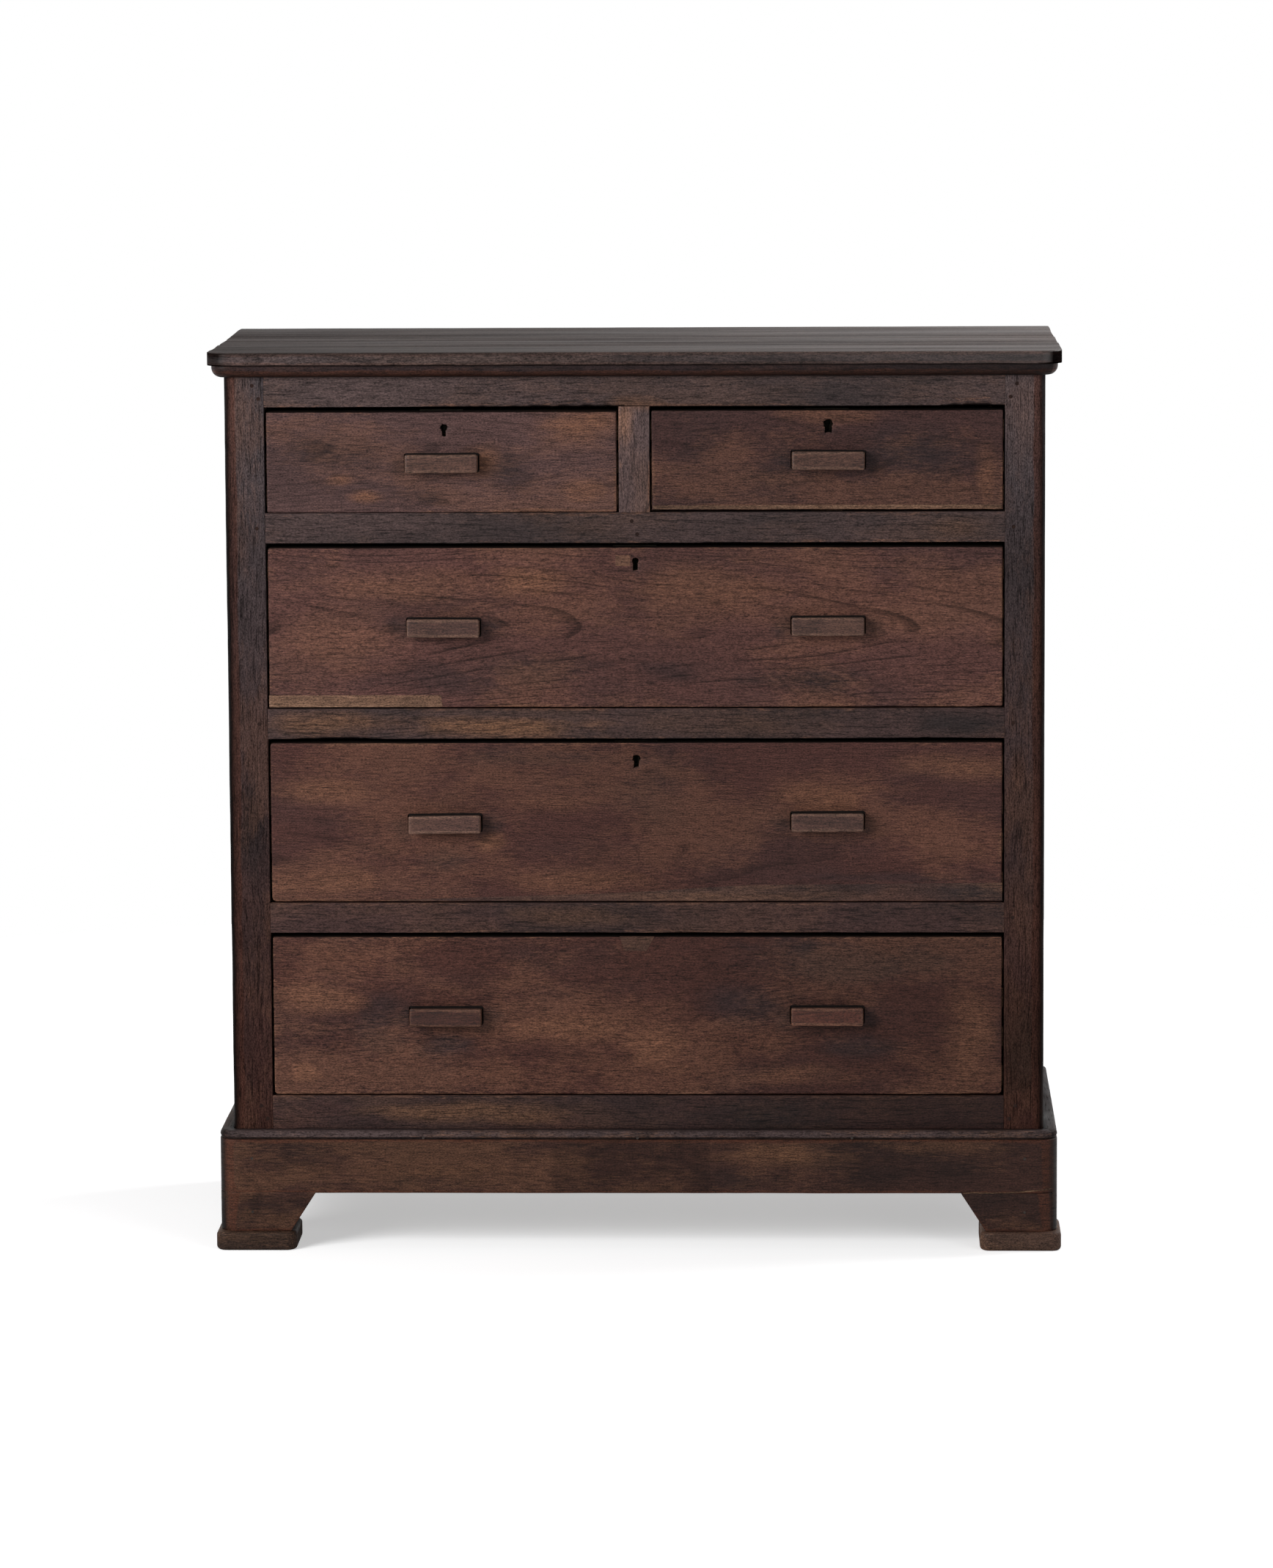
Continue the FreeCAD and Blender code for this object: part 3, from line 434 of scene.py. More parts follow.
for number, way in enumerate(round_about):
    place, length = round_case(plinth_outer, plinth_face, plinth_corner, way)
    rings, edge = worn_bar(length, (-plinth_thick, -sunk), (plinth_low, plinth_high),
                           (0.0004, 0.0012, 0.0012, 0.0004), ends=0.0002, wear=0.6,
                           seed=320 + number, step=0.006)
    edge, tone = corner_wear_and_shade(rings, edge, way, length if way == 0 else None)
    if way == 0:
        across = rings[:, :, 0] - length / 2
        middle_dark = 0.25 * ((across > -0.1115) & (across < 0.096))
        tone = tone - middle_dark - 0.16 * (across > 0.25)
    plinth_skins.append(bar_skin(rings, edge, place, seed=plinth_grain + number, tone=tone))
piece("plinth_front_board", plinth_skins[:1], plinth_teak, "carcase", "frame_teak", "plinth_front")
piece("plinth_side_boards", plinth_skins[1:], plinth_teak, "carcase", "frame_teak", "plinth_sides")

bracket_low = 0.025
bracket_foot = 0.093
bracket_splay = 0.033


def splay(rings, foot):
    """Splays a bracket: its length grows evenly with height, by the whole splay at the plinth."""
    rise = (rings[:, :, 2] - bracket_low) / (plinth_low - bracket_low)
    rings[:, :, 0] *= 1 + rise * bracket_splay / foot


def along_depth(side, back, foot=0.0, out=1, rearwards=1):
    """Lays a bar from front to rear, or from rear to front: across goes sideways, deep goes up."""
    return lambda at: at[:, [1, 0, 2]] * (out, rearwards, 1) + (side, back, foot)


# The left front bracket is of one board with the plinth: it has its grain, and no joint shows.
bracket_skins = []
for number, (way, mirror, joint_lap, grain, darker) in enumerate((
        (0, 1, 0.0016, plinth_grain, 0.06), (0, -1, 0, 351, 0.17),
        (-1, 1, 0, 352, 0), (1, 1, 0, 353, 0))):
    foot = plinth_corner * np.pi / 4 + bracket_foot - plinth_corner
    rings, edge = worn_bar(foot, (-plinth_thick, -sunk), (bracket_low, plinth_low + joint_lap),
                           (0.0006, 0.001, 0.0002, 0.0002), ends=0.0008, wear=0.5,
                           seed=340 + number, step=0.004)
    edge[rings[:, :, 2] > plinth_low - 0.01] = 0.01
    edge, tone = corner_wear_and_shade(rings, edge, way)
    splay(rings, foot)
    place, _ = round_case(plinth_outer, plinth_face, plinth_corner, way)
    bracket_skins.append(bar_skin(rings, edge, lambda at: place(at) * (mirror, 1, 1), seed=grain,
                                  tone=tone - darker))
for number, way in enumerate((-1, 1)):
    rings, edge = worn_bar(bracket_foot, (-plinth_thick, -sunk), (bracket_low, plinth_low),
                           (0.0006, 0.001, 0.0003, 0.0003), ends=0.0008, wear=0.5,
                           seed=346 + number, step=0.004)
    splay(rings, bracket_foot)
    place = along_depth(way * plinth_outer, case_back, 0, way, -1)
    bracket_skins.append(bar_skin(rings, edge, place, seed=356 + number))
piece("bracket_feet_worn", bracket_skins, plinth_teak, "carcase", "frame_teak", "bracket_feet")

glue_tan = old_teak("old_glue", dark=(0.022, 0.012, 0.009), plain=(0.075, 0.043, 0.025),
                    warm=(0.16, 0.10, 0.058), worn=(0.12, 0.07, 0.04), stain=0.9, glow=0.6)
glue_long = 0.118
glue_high = 0.0011
glue_squeezed = 0.0045
rings, edge = worn_bar(glue_long, (-0.001, 0.0001), (0, glue_high), (0.0002,) * 4, ends=0.0002,
                       wear=0.3, seed=358, step=0.004)
along = rings[:, :, 0]
rings[:, :, 2] = plinth_low + 0.0002 + rings[:, :, 2] * (1 + 0.5 * wander(along, 0.011, 359))
rings[:, :, 2] += (glue_squeezed * np.clip(1 - along / 0.06, 0, 1)
                   + 0.0005 * wander(along, 0.008, 360))
place, _ = round_case(plinth_outer, plinth_face, plinth_corner, 0)
skins = [bar_skin(rings, edge, lambda at: place(at) * (-1, 1, 1), seed=361)]
piece("bracket_glue_line", skins, glue_tan, "carcase", "frame_teak")

cap_teak = old_teak("cap_teak", dark=(0.012, 0.010, 0.010), plain=(0.0455, 0.0318, 0.0308),
                    warm=(0.085, 0.046, 0.031), worn=(0.075, 0.04, 0.027), stain=0.5, glow=0.5,
                    shine=0.03)
cap_high = 0.1585
fillet_top = plinth_high + 0.0026
fillet_back = 0.0022
cap_skins = []
for number, way in enumerate(round_about):
    place, length = round_case(plinth_outer, plinth_face, plinth_corner, way)
    rings, edge = worn_bar(length, (-plinth_thick, -fillet_back), (plinth_high, fillet_top),
                           (0.0003,) * 4, ends=0.0002, wear=0.4, seed=360 + number, step=0.006)
    # The set-back fillet is painted dark, as shade in the groove under the nosing.
    cap_skins.append(bar_skin(rings, edge + 0.01, place, seed=370 + number, tone=-0.75))
    rings, edge = worn_bar(length, (-plinth_thick, -sunk), (fillet_top, cap_high),
                           (0.0003, 0.0018, 0.0055, 0.0003), ends=0.0002, wear=0.15,
                           seed=363 + number, step=0.006)
    # Painted shade: the back of the cap's top, where it meets the rail above, goes near black, and
    # the side returns are darker than the front; along the front the tone changes from end to end.
    if way == 0:
        faded = np.interp(rings[:, :, 0] - length / 2, (-0.545, -0.52, -0.42, 0, 0.5, 0.545),
                          (0.6, 1.3, 1.4, 1.08, 1.12, 0.95))
    else:
        faded = np.interp(rings[:, :, 0], (0.02, 0.06), (0.3, 0.45))
    tone = faded * np.interp(rings[:, :, 1], (-0.0150, -0.0095), (0.07, 1.0)) - 1
    cap_skins.append(bar_skin(rings, edge, place, seed=373 + number, tone=tone))
piece("plinth_cap_nosed", cap_skins, cap_teak, "carcase", "frame_teak", "plinth_cap")


# Corner posts
# Square teak posts that stand on the pads and carry everything. The front two are rounded along
# their outer arris, where the finish has rubbed through to redder wood.
post_spots = [
    (-0.512, 1.09, 0.02, 0.07, 0.5), (-0.512, 0.925, 0.012, 0.035, 0.4),
    (-0.498, 0.55, 0.02, 0.10, -0.7), (0.505, 1.09, 0.03, 0.07, 0.4),
    (0.519, 0.77, 0.008, 0.09, 0.8), (0.496, 0.625, 0.013, 0.032, 0.7),
    (0.50, 0.56, 0.03, 0.025, -0.5), (0.505, 0.43, 0.03, 0.06, 0.5),
    (0.505, 0.275, 0.035, 0.055, -0.85)]
# high greys the posts towards the top: a painted sheen.
post_teak = old_teak("post_teak", dark=(0.010, 0.009, 0.0095), plain=(0.036, 0.0145, 0.0112),
                     warm=(0.080, 0.038, 0.024), worn=(0.041, 0.0160, 0.0113), spots=post_spots,
                     high=(0.0440, 0.0350, 0.0365), stain=0.35, glow=0.35, rub=1.0, pores=0.6,
                     shine=0.02)
post_round = 0.012
rubbed_at = 0.0160
rubbed_half = 0.0045


def post_wear_and_shade(rings, low, high, way):
    """How far each point of a front post is from its rubbed band, and how dark it is.

    Girth is the way from the outer side round the quarter circle to the face. The band lies along
    it past the circle. Towards the outer side the post is painted dark, as shade on the round
    turned away from the lamps, and with height it fades or darkens.
    """
    out = np.abs(rings[:, :, 1]) - (high.x - low.x) / 2 - abs(low.x + high.x) / 2 + post_round
    back = rings[:, :, 2] - low.y - post_round
    girth = np.where(back > 0, -back, post_round * np.arctan2(-back, out))
    girth = np.where(out > 0, girth, post_round * np.pi / 2 - out)
    edge = np.maximum(np.abs(girth - rubbed_at) - rubbed_half, 0) + on_arris
    level = rings[:, :, 0] + low.z
    if way < 0:
        reach, darkest = 0.0090, 0.93
        faded = np.interp(level, (0.93, 1.08), (1.0, 1.5))
    else:
        reach, darkest = 0.0060, 0.8
        faded = np.interp(level, (0.16, 0.22, 0.32, 0.39, 0.93, 1.08),
                          (0.95, 0.66, 0.66, 1.0, 1.0, 1.5))
    # Painted shade: darker towards the outer side, on the round turned away from the lamps.
    shade_turned_away = np.clip((0.0095 + reach - girth) / reach, 0, 1)
    shade_turned_away = shade_turned_away * np.clip((girth + 0.02) / 0.015, 0, 1)
    return edge, faded * (1 - darkest * shade_turned_away) - 1


for number, (way, name) in enumerate(((-1, "front_left_post"), (1, "front_right_post"),
                                      (-1, "rear_left_post"), (1, "rear_right_post"))):
    low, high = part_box(name)
    front = number < 2
    radii = [0.0011, 0.0011, 0.0016, 0.0016]
    if front:
        radii[0 if way < 0 else 1] = post_round
    rings, edge = worn_bar(high.z - low.z, (low.x, high.x), (low.y + sunk, high.y), radii,
                           ends=0.0008, wear=0.16, seed=380 + number)
    edge, tone = post_wear_and_shade(rings, low, high, way) if front else (edge, 0.0)
    skins = [bar_skin(rings, edge, upright(foot=low.z), seed=390 + number, tone=tone)]
    piece(name + "_worn", skins, post_teak, "carcase", "frame_teak", name)


# Front rails and muntin
# Five teak rails between the front posts, tenoned and pegged, with an upright between the short
# drawers. Their edges are chipped and knocked from use, and three have slots for the lock bolts.
inside = 0.478
front_face = -0.218
frame_back = -0.172
rail_spots = [
    (-0.187, 0.690, 0.135, 0.014, 1.2), (0.412, 0.689, 0.057, 0.015, -0.7),
    (-0.220, 0.181, 0.125, 0.016, 0.95), (0.12, 0.692, 0.13, 0.02, 0.35),
    (-0.40, 0.692, 0.08, 0.015, 0.9), (-0.08, 0.438, 0.08, 0.015, 0.5),
    (0.41, 0.948, 0.06, 0.015, 0.5), (0.006, 1.110, 0.045, 0.014, 0.8),
    (-0.012, 1.085, 0.012, 0.03, 0.7), (0.16, 0.168, 0.13, 0.035, -0.7)]
# Faces that look down are painted near black, as shade under the rails and in their chips; high
# greys the rails towards the top, a painted sheen.
rail_teak = old_teak("rail_teak", dark=(0.0115, 0.010, 0.0105), plain=(0.041, 0.0188, 0.0162),
                     warm=(0.115, 0.056, 0.031), worn=(0.085, 0.042, 0.028), spots=rail_spots,
                     high=(0.047, 0.031, 0.0295), stain=0.5, glow=0.15, pores=0.6,
                     dust_and_shade=(0.95, (0.004, 0.003, 0.003), -1))
# Each rail's foot and head, its tone at the left, middle and right, its chips and its bolts.
rails = {
    "top_rail": (1.1045, 1.159, (0.30, -0.06, 0.20),
                 [(0, 0.33, 0.13, 0.0038), (0, 0.43, 0.06, 0.0045), (0, 0.914, 0.045, 0.0085)],
                 ("top_left_lock_bolt", "top_right_lock_bolt")),
    "upper_rail": (0.928, 0.9675, (0.08, -0.06, 0.14),
                   [(0, 0.60, 0.05, 0.0015), (3, 0.03, 0.02, 0.002)], ("upper_lock_bolt",)),
    "middle_rail": (0.673, 0.7125, (0.08, 0.02, -0.08),
                    [(0, 0.09, 0.06, 0.006), (0, 0.86, 0.05, 0.0035), (3, 0.93, 0.03, 0.002)],
                    ("middle_lock_bolt",)),
    "lower_rail": (0.418, 0.4575, (-0.03, -0.06, -0.10),
                   [(3, 0.93, 0.025, 0.004), (0, 0.55, 0.04, 0.0012)], ()),
    "bottom_rail": (0.1325, 0.2025, (0.08, -0.10, -0.55),
                    [(3, 0.90, 0.05, 0.0025), (3, 0.03, 0.02, 0.002)], ()),
}
rail_arris = 0.0011
sawn = 0.0002
slot_room = 0.0008
slot_rise = 0.009
for number, (name, (low, high, tones, chips, bolts)) in enumerate(rails.items()):
    worn_face = front_face + sunk
    bars = [(-inside, inside, worn_face, frame_back, low, (rail_arris,) * 4, chips)]
    slots = [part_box(bolt) for bolt in bolts]
    if slots:
        near, far = slots[0][0].y - slot_room, slots[0][1].y + slot_room
        bars = [(-inside, inside, worn_face, near, low, (rail_arris, sawn, sawn, rail_arris),
                 chips),
                (-inside, inside, far, frame_back, low, (sawn, rail_arris, rail_arris, sawn), ())]
        ends = [-inside]
        for slot in slots:
            ends += [slot[0].x - slot_room, slot[1].x + slot_room]
        for stretch, (left, right) in enumerate(zip(ends, ends[1:] + [inside])):
            foot = low + slot_rise * (stretch % 2)
            bars.append((left, right, near, far, foot, (sawn,) * 4, ()))
    skins = []
    for left, right, near, far, foot, radii, knocks in bars:
        rings, edge = worn_bar(right - left, (near, far), (foot, high), radii, ends=0.0005,
                               wear=0.5, seed=400 + number, chips=knocks, step=0.005)
        tone = np.interp(rings[:, :, 0] + left, (-0.35, 0.0, 0.35), tones)
        skins.append(bar_skin(rings, edge, lambda at: at + (left, 0, 0), seed=410 + number,
                              tone=tone, order=(0, 2, 1)))
    piece(name + "_worn", skins, rail_teak, "carcase", "frame_teak", name)
muntin_half = 0.020
muntin_foot = rails["upper_rail"][1]
rings, edge = worn_bar(rails["top_rail"][0] - muntin_foot, (-muntin_half, muntin_half),
                       (front_face + sunk, frame_back), (0.0012, 0.0012, 0.001, 0.001), ends=0.0005,
                       wear=0.5, seed=420, chips=[(0, 0.13, 0.02, 0.002)], step=0.005)
tone = 0.45 + 0.4 * np.clip((rings[:, :, 0] - 0.05) / 0.06, 0, 1)
skins = [bar_skin(rings, edge, upright(foot=muntin_foot), seed=421, tone=tone)]
piece("muntin_worn", skins, rail_teak, "carcase", "frame_teak", "muntin")


# Pegs and nails
# Riven pegs driven through the posts into the rail tenons and left flush, and old iron nails.
def plain_finish(name, colour, spread, cells, rough, metal, shine=0.3):
    """A finish on Object coordinates: a colour and a darker one mixed by noise, uneven in gloss."""
    finish, start, sockets = new_finish(name)
    place = start.node("TexCoord", {}, {}, "Object")
    cloud = mottle(place, (cells,) * 3, 5.0, 0.65)
    fine = mottle(place, (cells * 9,) * 3, 3.0, 0.6)
    share = step_up(cloud * 0.7 + fine * 0.3, 0.36, 0.64)
    blend(share, tuple(part * spread for part in colour), colour).feed(sockets["Base Color"])
    gloss = rough + (0.5 - cloud) * 0.4 + (fine - 0.5) * 0.2
    gloss.feed(sockets["Roughness"])
    bump = start.node("Bump", {}, {"Height": cloud * 0.5 + fine * 0.5, "Strength": 0.2,
                                   "Distance": 0.0004})
    bump.feed(sockets["Normal"])
    sockets["Metallic"].default_value = metal
    sockets["Specular IOR Level"].default_value = shine
    return finish


def dress(finish, *nodes):
    """Gives CAD nodes that stay in view a finish of their own."""
    for node in nodes:
        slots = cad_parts[node].data.materials
        slots.clear()
        slots.append(finish)


nail_iron = plain_finish("nail_iron", (0.035, 0.026, 0.022), spread=0.35, cells=300, rough=0.65,
                         metal=0.35)
dress(plain_finish("peg_wood", (0.021, 0.0092, 0.0068), spread=0.4, cells=260, rough=0.65,
                   metal=0.0, shine=0.1), "frame_pegs")
dress(nail_iron, "plinth_nails")


# Side frames
# Between a front and a rear post on each side: a teak rail at the top and one at the bottom, and a
# flat panel of three boards that floats in their grooves.
side_teak = old_teak("side_teak", dark=(0.015, 0.012, 0.012), plain=(0.05, 0.028, 0.021),
                     warm=(0.10, 0.053, 0.034), worn=(0.10, 0.048, 0.029), stain=0.65, glow=0.45)
side_rail_long = 0.367
side_rail_faces = (0.508, 0.530)
side_skins = []
for number, (way, name) in enumerate(((-1, "top_rail"), (-1, "bottom_rail"),
                                      (1, "top_rail"), (1, "bottom_rail"))):
    rings, edge = worn_bar(side_rail_long, side_rail_faces, rails[name][:2], (0.001,) * 4,
                           ends=0.0005, wear=0.5, seed=430 + number)
    side_skins.append(bar_skin(rings, edge, along_depth(0, frame_back, 0, way), seed=440 + number,
                               order=(0, 2, 1)))
piece("side_rails_worn", side_skins, side_teak, "carcase", "frame_teak", "side_rails")
for number, name in enumerate(("left_side_panel", "right_side_panel")):
    low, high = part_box(name)
    skins = []
    joints = (low.y, low.y + 0.128, low.y + 0.251, high.y)
    for board, tone in enumerate((0.03, -0.05, 0.0)):
        rings, edge = worn_bar(high.z - low.z, (low.x, high.x), joints[board:board + 2],
                               (0.0006,) * 4, ends=0.0005, wear=0.4, seed=450 + 3 * number + board,
                               step=0.02)
        skins.append(bar_skin(rings, edge, upright(foot=low.z), seed=460 + 3 * number + board,
                              tone=tone, order=(0, 2, 1)))
    piece(name + "_boards", skins, side_teak, "carcase", "frame_teak", name)


# Back
# Three teak rails between the rear posts, and seven thin upright boards over them, each held by six
# iron nails. The boards were never waxed and have gone dry and grey-brown.
dry_wood = old_teak("dry_wood", dark=(0.036, 0.025, 0.021), plain=(0.093, 0.057, 0.041),
                    warm=(0.15, 0.095, 0.067), worn=(0.16, 0.112, 0.085), stain=0.6, glow=0.5,
                    figure=0.4, rough=0.72, shine=0.05)
board_count = 7
board_wide = 2 * inside / board_count
board_gap = 0.0007
board_thick = 0.010
board_foot = rails["bottom_rail"][0]
board_long = rails["top_rail"][1] - board_foot
skins = []
for number in range(board_count):
    rings, edge = worn_bar(board_long, (board_gap, board_wide - board_gap),
                           (case_back - board_thick, case_back), (0.0006, 0.0006, 0.001, 0.001),
                           ends=0.0006, wear=0.5, seed=470 + number, step=0.02)
    tone = 0.22 * float(wander(np.array(number * 1.0), 1, 5))
    skins.append(bar_skin(rings, edge, upright(number * board_wide - inside, 0, board_foot),
                          seed=480 + number, tone=tone))
piece("back_boards_dry", skins, dry_wood, "carcase", "inner_wood", "back_boards")
spoke = np.linspace(0, 2 * np.pi, 13)[:-1]
dome = np.array([(-0.001, 0.0024), (0, 0.0024), (0.0003, 0.0018), (0.0005, 0.0007)])
out, radius = dome.T[..., None]
rings = np.stack([out + 0 * spoke, radius * np.cos(spoke), radius * np.sin(spoke)], 2)
nails = [(board, height, share) for board in range(board_count)
         for height in (1.132, 0.948, 0.168) for share in (0.28, 0.72)]
heads = []
for number, (board, height, share) in enumerate(nails):
    shift = 0.003 * wander(np.array([number * 1.0, number + 0.5]), 0.5, 6)
    middle = (board + share) * board_wide - inside + shift[0]
    heads.append(bar_skin(rings, np.full(rings.shape[:2], 0.01),
                          along_depth(middle, case_back, height + shift[1]), seed=490))
piece("back_nail_heads", heads, nail_iron, "carcase", "nail_iron")


# Runners, guides, stops and drawer boxes
# The unseen work is in paler dry wood: runners tenoned into the posts, guides and stops nailed on
# them, and dovetailed drawer sides and backs with thin bottoms slid into their grooves.
dry_along_depth = old_teak("dry_along_depth", dark=(0.05, 0.033, 0.025), plain=(0.15, 0.088, 0.056),
                           warm=(0.22, 0.138, 0.090), worn=(0.2, 0.138, 0.095), stain=0.45,
                           glow=0.5, rough=0.7, shine=0.05, axes=(0, 0, np.pi / 2))
dry_along_width = old_teak("dry_along_width", dark=(0.05, 0.033, 0.025), plain=(0.14, 0.082, 0.052),
                           warm=(0.21, 0.130, 0.085), worn=(0.2, 0.138, 0.095), stain=0.45,
                           glow=0.5, rough=0.7, shine=0.05, axes=(np.pi / 2, 0, 0))
dress(dry_along_depth, "drawer_runners", "drawer_guides")
dress(dry_along_width, "drawer_stops", "back_rails")
for name in ("top_left", "top_right", "upper", "middle", "lower"):
    dress(dry_along_depth, name + "_drawer_sides")
    dress(dry_along_width, name + "_drawer_back", name + "_drawer_bottom")


# Drawer fronts
# Solid teak fronts, flush with the frame and dovetailed to their sides, four with a keyhole. They
# have warped, shrunk and been knocked, so no gap round them is even and their corners are round.
def keyed_front(low, high, hole, seed, chips):
    """A board with a keyhole, as one closed tube of rings.

    The rings run out of the hole, over its rim and across the face to the arris, round a quarter
    circle whose radius wanders and swells by a parabola at chips (side, height, reach, depth),
    along the edge and back over the rear to the hole. A ring's points keep their bearing from the
    keyhole (side, height, radius, half width of its slot), whose own outline is the larger of a
    circle and a slot in each bearing.
    """
    middle = (low + high) / 2
    half = (high - low) / 2
    slot_deep = 0.0112
    inset_flat = 0.009
    close = np.array([0.0005, 0.0012, 0.002, 0.003, 0.0045])
    round_hole = hole[0] - middle[0] + np.arange(-0.03, 0.03, 0.0012)
    flat, rise = (np.unique(np.concatenate([np.arange(-reach, reach - 0.0055, 0.006),
                                            close - reach, reach - close, extra]))
                  for reach, extra in ((half[0], round_hole), (half[2], [])))
    outline = np.concatenate([
        np.stack([flat, np.full(len(flat), -half[2])], 1),
        np.stack([np.full(len(rise), half[0]), rise], 1),
        np.stack([-flat, np.full(len(flat), half[2])], 1),
        np.stack([np.full(len(rise), -half[0]), -rise], 1)])
    walk = np.cumsum(np.hypot(*np.diff(outline, axis=0, prepend=outline[:1]).T))
    radius = 0.0016 * (1 + 0.5 * wander(walk, 0.05, seed) + 0.35 * wander(walk, 0.012, seed + 1))
    for side, height, reach, depth in chips:
        far = np.hypot(outline[:, 0] + middle[0] - side, outline[:, 1] + middle[2] - height)
        bite = depth * np.clip(1 - (far / reach) ** 2, 0, 1)
        radius = radius + bite * (1 + 0.5 * wander(walk, 0.006, seed + 2))
    bearing = np.arctan2(outline[:, 1] + middle[2] - hole[1], outline[:, 0] + middle[0] - hole[0])
    sideways = hole[3] / np.maximum(np.abs(np.cos(bearing)), 1e-6)
    downward = np.minimum(sideways, slot_deep / np.maximum(-np.sin(bearing), 1e-6))
    downward = np.where(np.sin(bearing) < 0, downward, 0)
    reach = np.maximum(hole[2], downward) * (1 + 0.12 * wander(bearing + 4, 0.35, seed + 3))

    def edge_ring(inset, back):
        """The board's outline, drawn in on all sides by an inset and set at a depth."""
        side, height = (outline * (1 - np.reshape(inset, (-1, 1)) / half[[0, 2]])
                        + middle[[0, 2]]).T
        return np.stack([side, np.broadcast_to(back, len(outline)), height], 1)

    def hole_ring(spare, back):
        """The keyhole's outline, let out by a little and set at a depth."""
        out = reach + spare
        return np.stack([hole[0] + out * np.cos(bearing), np.full(len(out), back),
                         hole[1] + out * np.sin(bearing)], 1)

    face = low[1]
    rear = high[1]
    rim = hole_ring(0.0009, face)
    inner = edge_ring(inset_flat, face)
    rear_hole = hole_ring(0, rear)
    rear_ring = edge_ring(inset_flat, rear)
    rings = [rear_hole, hole_ring(0, face + 0.0008), hole_ring(0.0003, face + 0.0002), rim]
    rings += [rim + (inner - rim) * share for share in (0.06, 0.2, 0.45, 0.75)]
    rings += [inner, edge_ring(radius + 0.002, face)]
    rounded = len(rings)
    rings += [edge_ring(radius * (1 - np.sin(angle)), face + radius * (1 - np.cos(angle)))
              for angle in np.linspace(0, np.pi / 2, 5)]
    past = len(rings)
    rings += [edge_ring(0.0, (face + rear) / 2), edge_ring(0.0, rear - 0.0006),
              edge_ring(0.0006, rear), rear_ring]
    rings += [rear_ring + (rear_hole - rear_ring) * share for share in (0.4, 0.8)]
    points = np.stack(rings)
    to_edge = np.minimum(points - low, high - points)[..., [0, 2]].min(-1)
    to_edge[rounded - 1] = 0.002
    to_edge[rounded:past] = np.minimum(to_edge[rounded:past], 0.0)
    to_edge[past:] = 0.01
    to_hole = np.hypot(points[..., 0] - hole[0], points[..., 2] - hole[1]) - reach
    edge = np.minimum(to_edge, np.maximum(to_hole, 0) + 0.0015).ravel()
    count, width = points.shape[:2]
    ring, spot = np.meshgrid(np.arange(count), np.arange(width), indexing="ij")
    ahead = (ring + 1) % count
    beside = (spot + 1) % width
    quads = np.stack([ring * width + spot, ring * width + beside, ahead * width + beside,
                      ahead * width + spot], 2).reshape(-1, 4)
    local = points.reshape(-1, 3)
    grain = local[:, [0, 2, 1]] - (middle[0], middle[2], 0) + cut_from(seed)
    return skin(local, quads, np.empty((0, 3), int), grain, edge, 0.0)


def round_corners(points, low, high, sizes):
    """Wears a front's corners round by their sizes: lower left, lower right, top left, top right.

    In the square at a corner, each point is drawn towards the square's inner corner, so that the
    square becomes a quarter circle, fully at the face and not at all at the rear.
    """
    for size, right, top in zip(sizes, (0, 1, 0, 1), (0, 0, 1, 1)):
        if size:
            side = np.clip(1 - np.abs(points[:, 0] - (low, high)[right][0]) / size, 0, None)
            rise = np.clip(1 - np.abs(points[:, 2] - (low, high)[top][2]) / size, 0, None)
            drawn = 1 - np.maximum(side, rise) / np.maximum(np.hypot(side, rise), 1e-9)
            drawn = size * drawn * (side > 0) * (rise > 0)
            drawn = drawn * (high[1] - points[:, 1]) / (high[1] - low[1])
            points = points + np.stack([(1 - 2 * right) * side * drawn, 0 * side,
                                        (1 - 2 * top) * rise * drawn], 1)
    return points


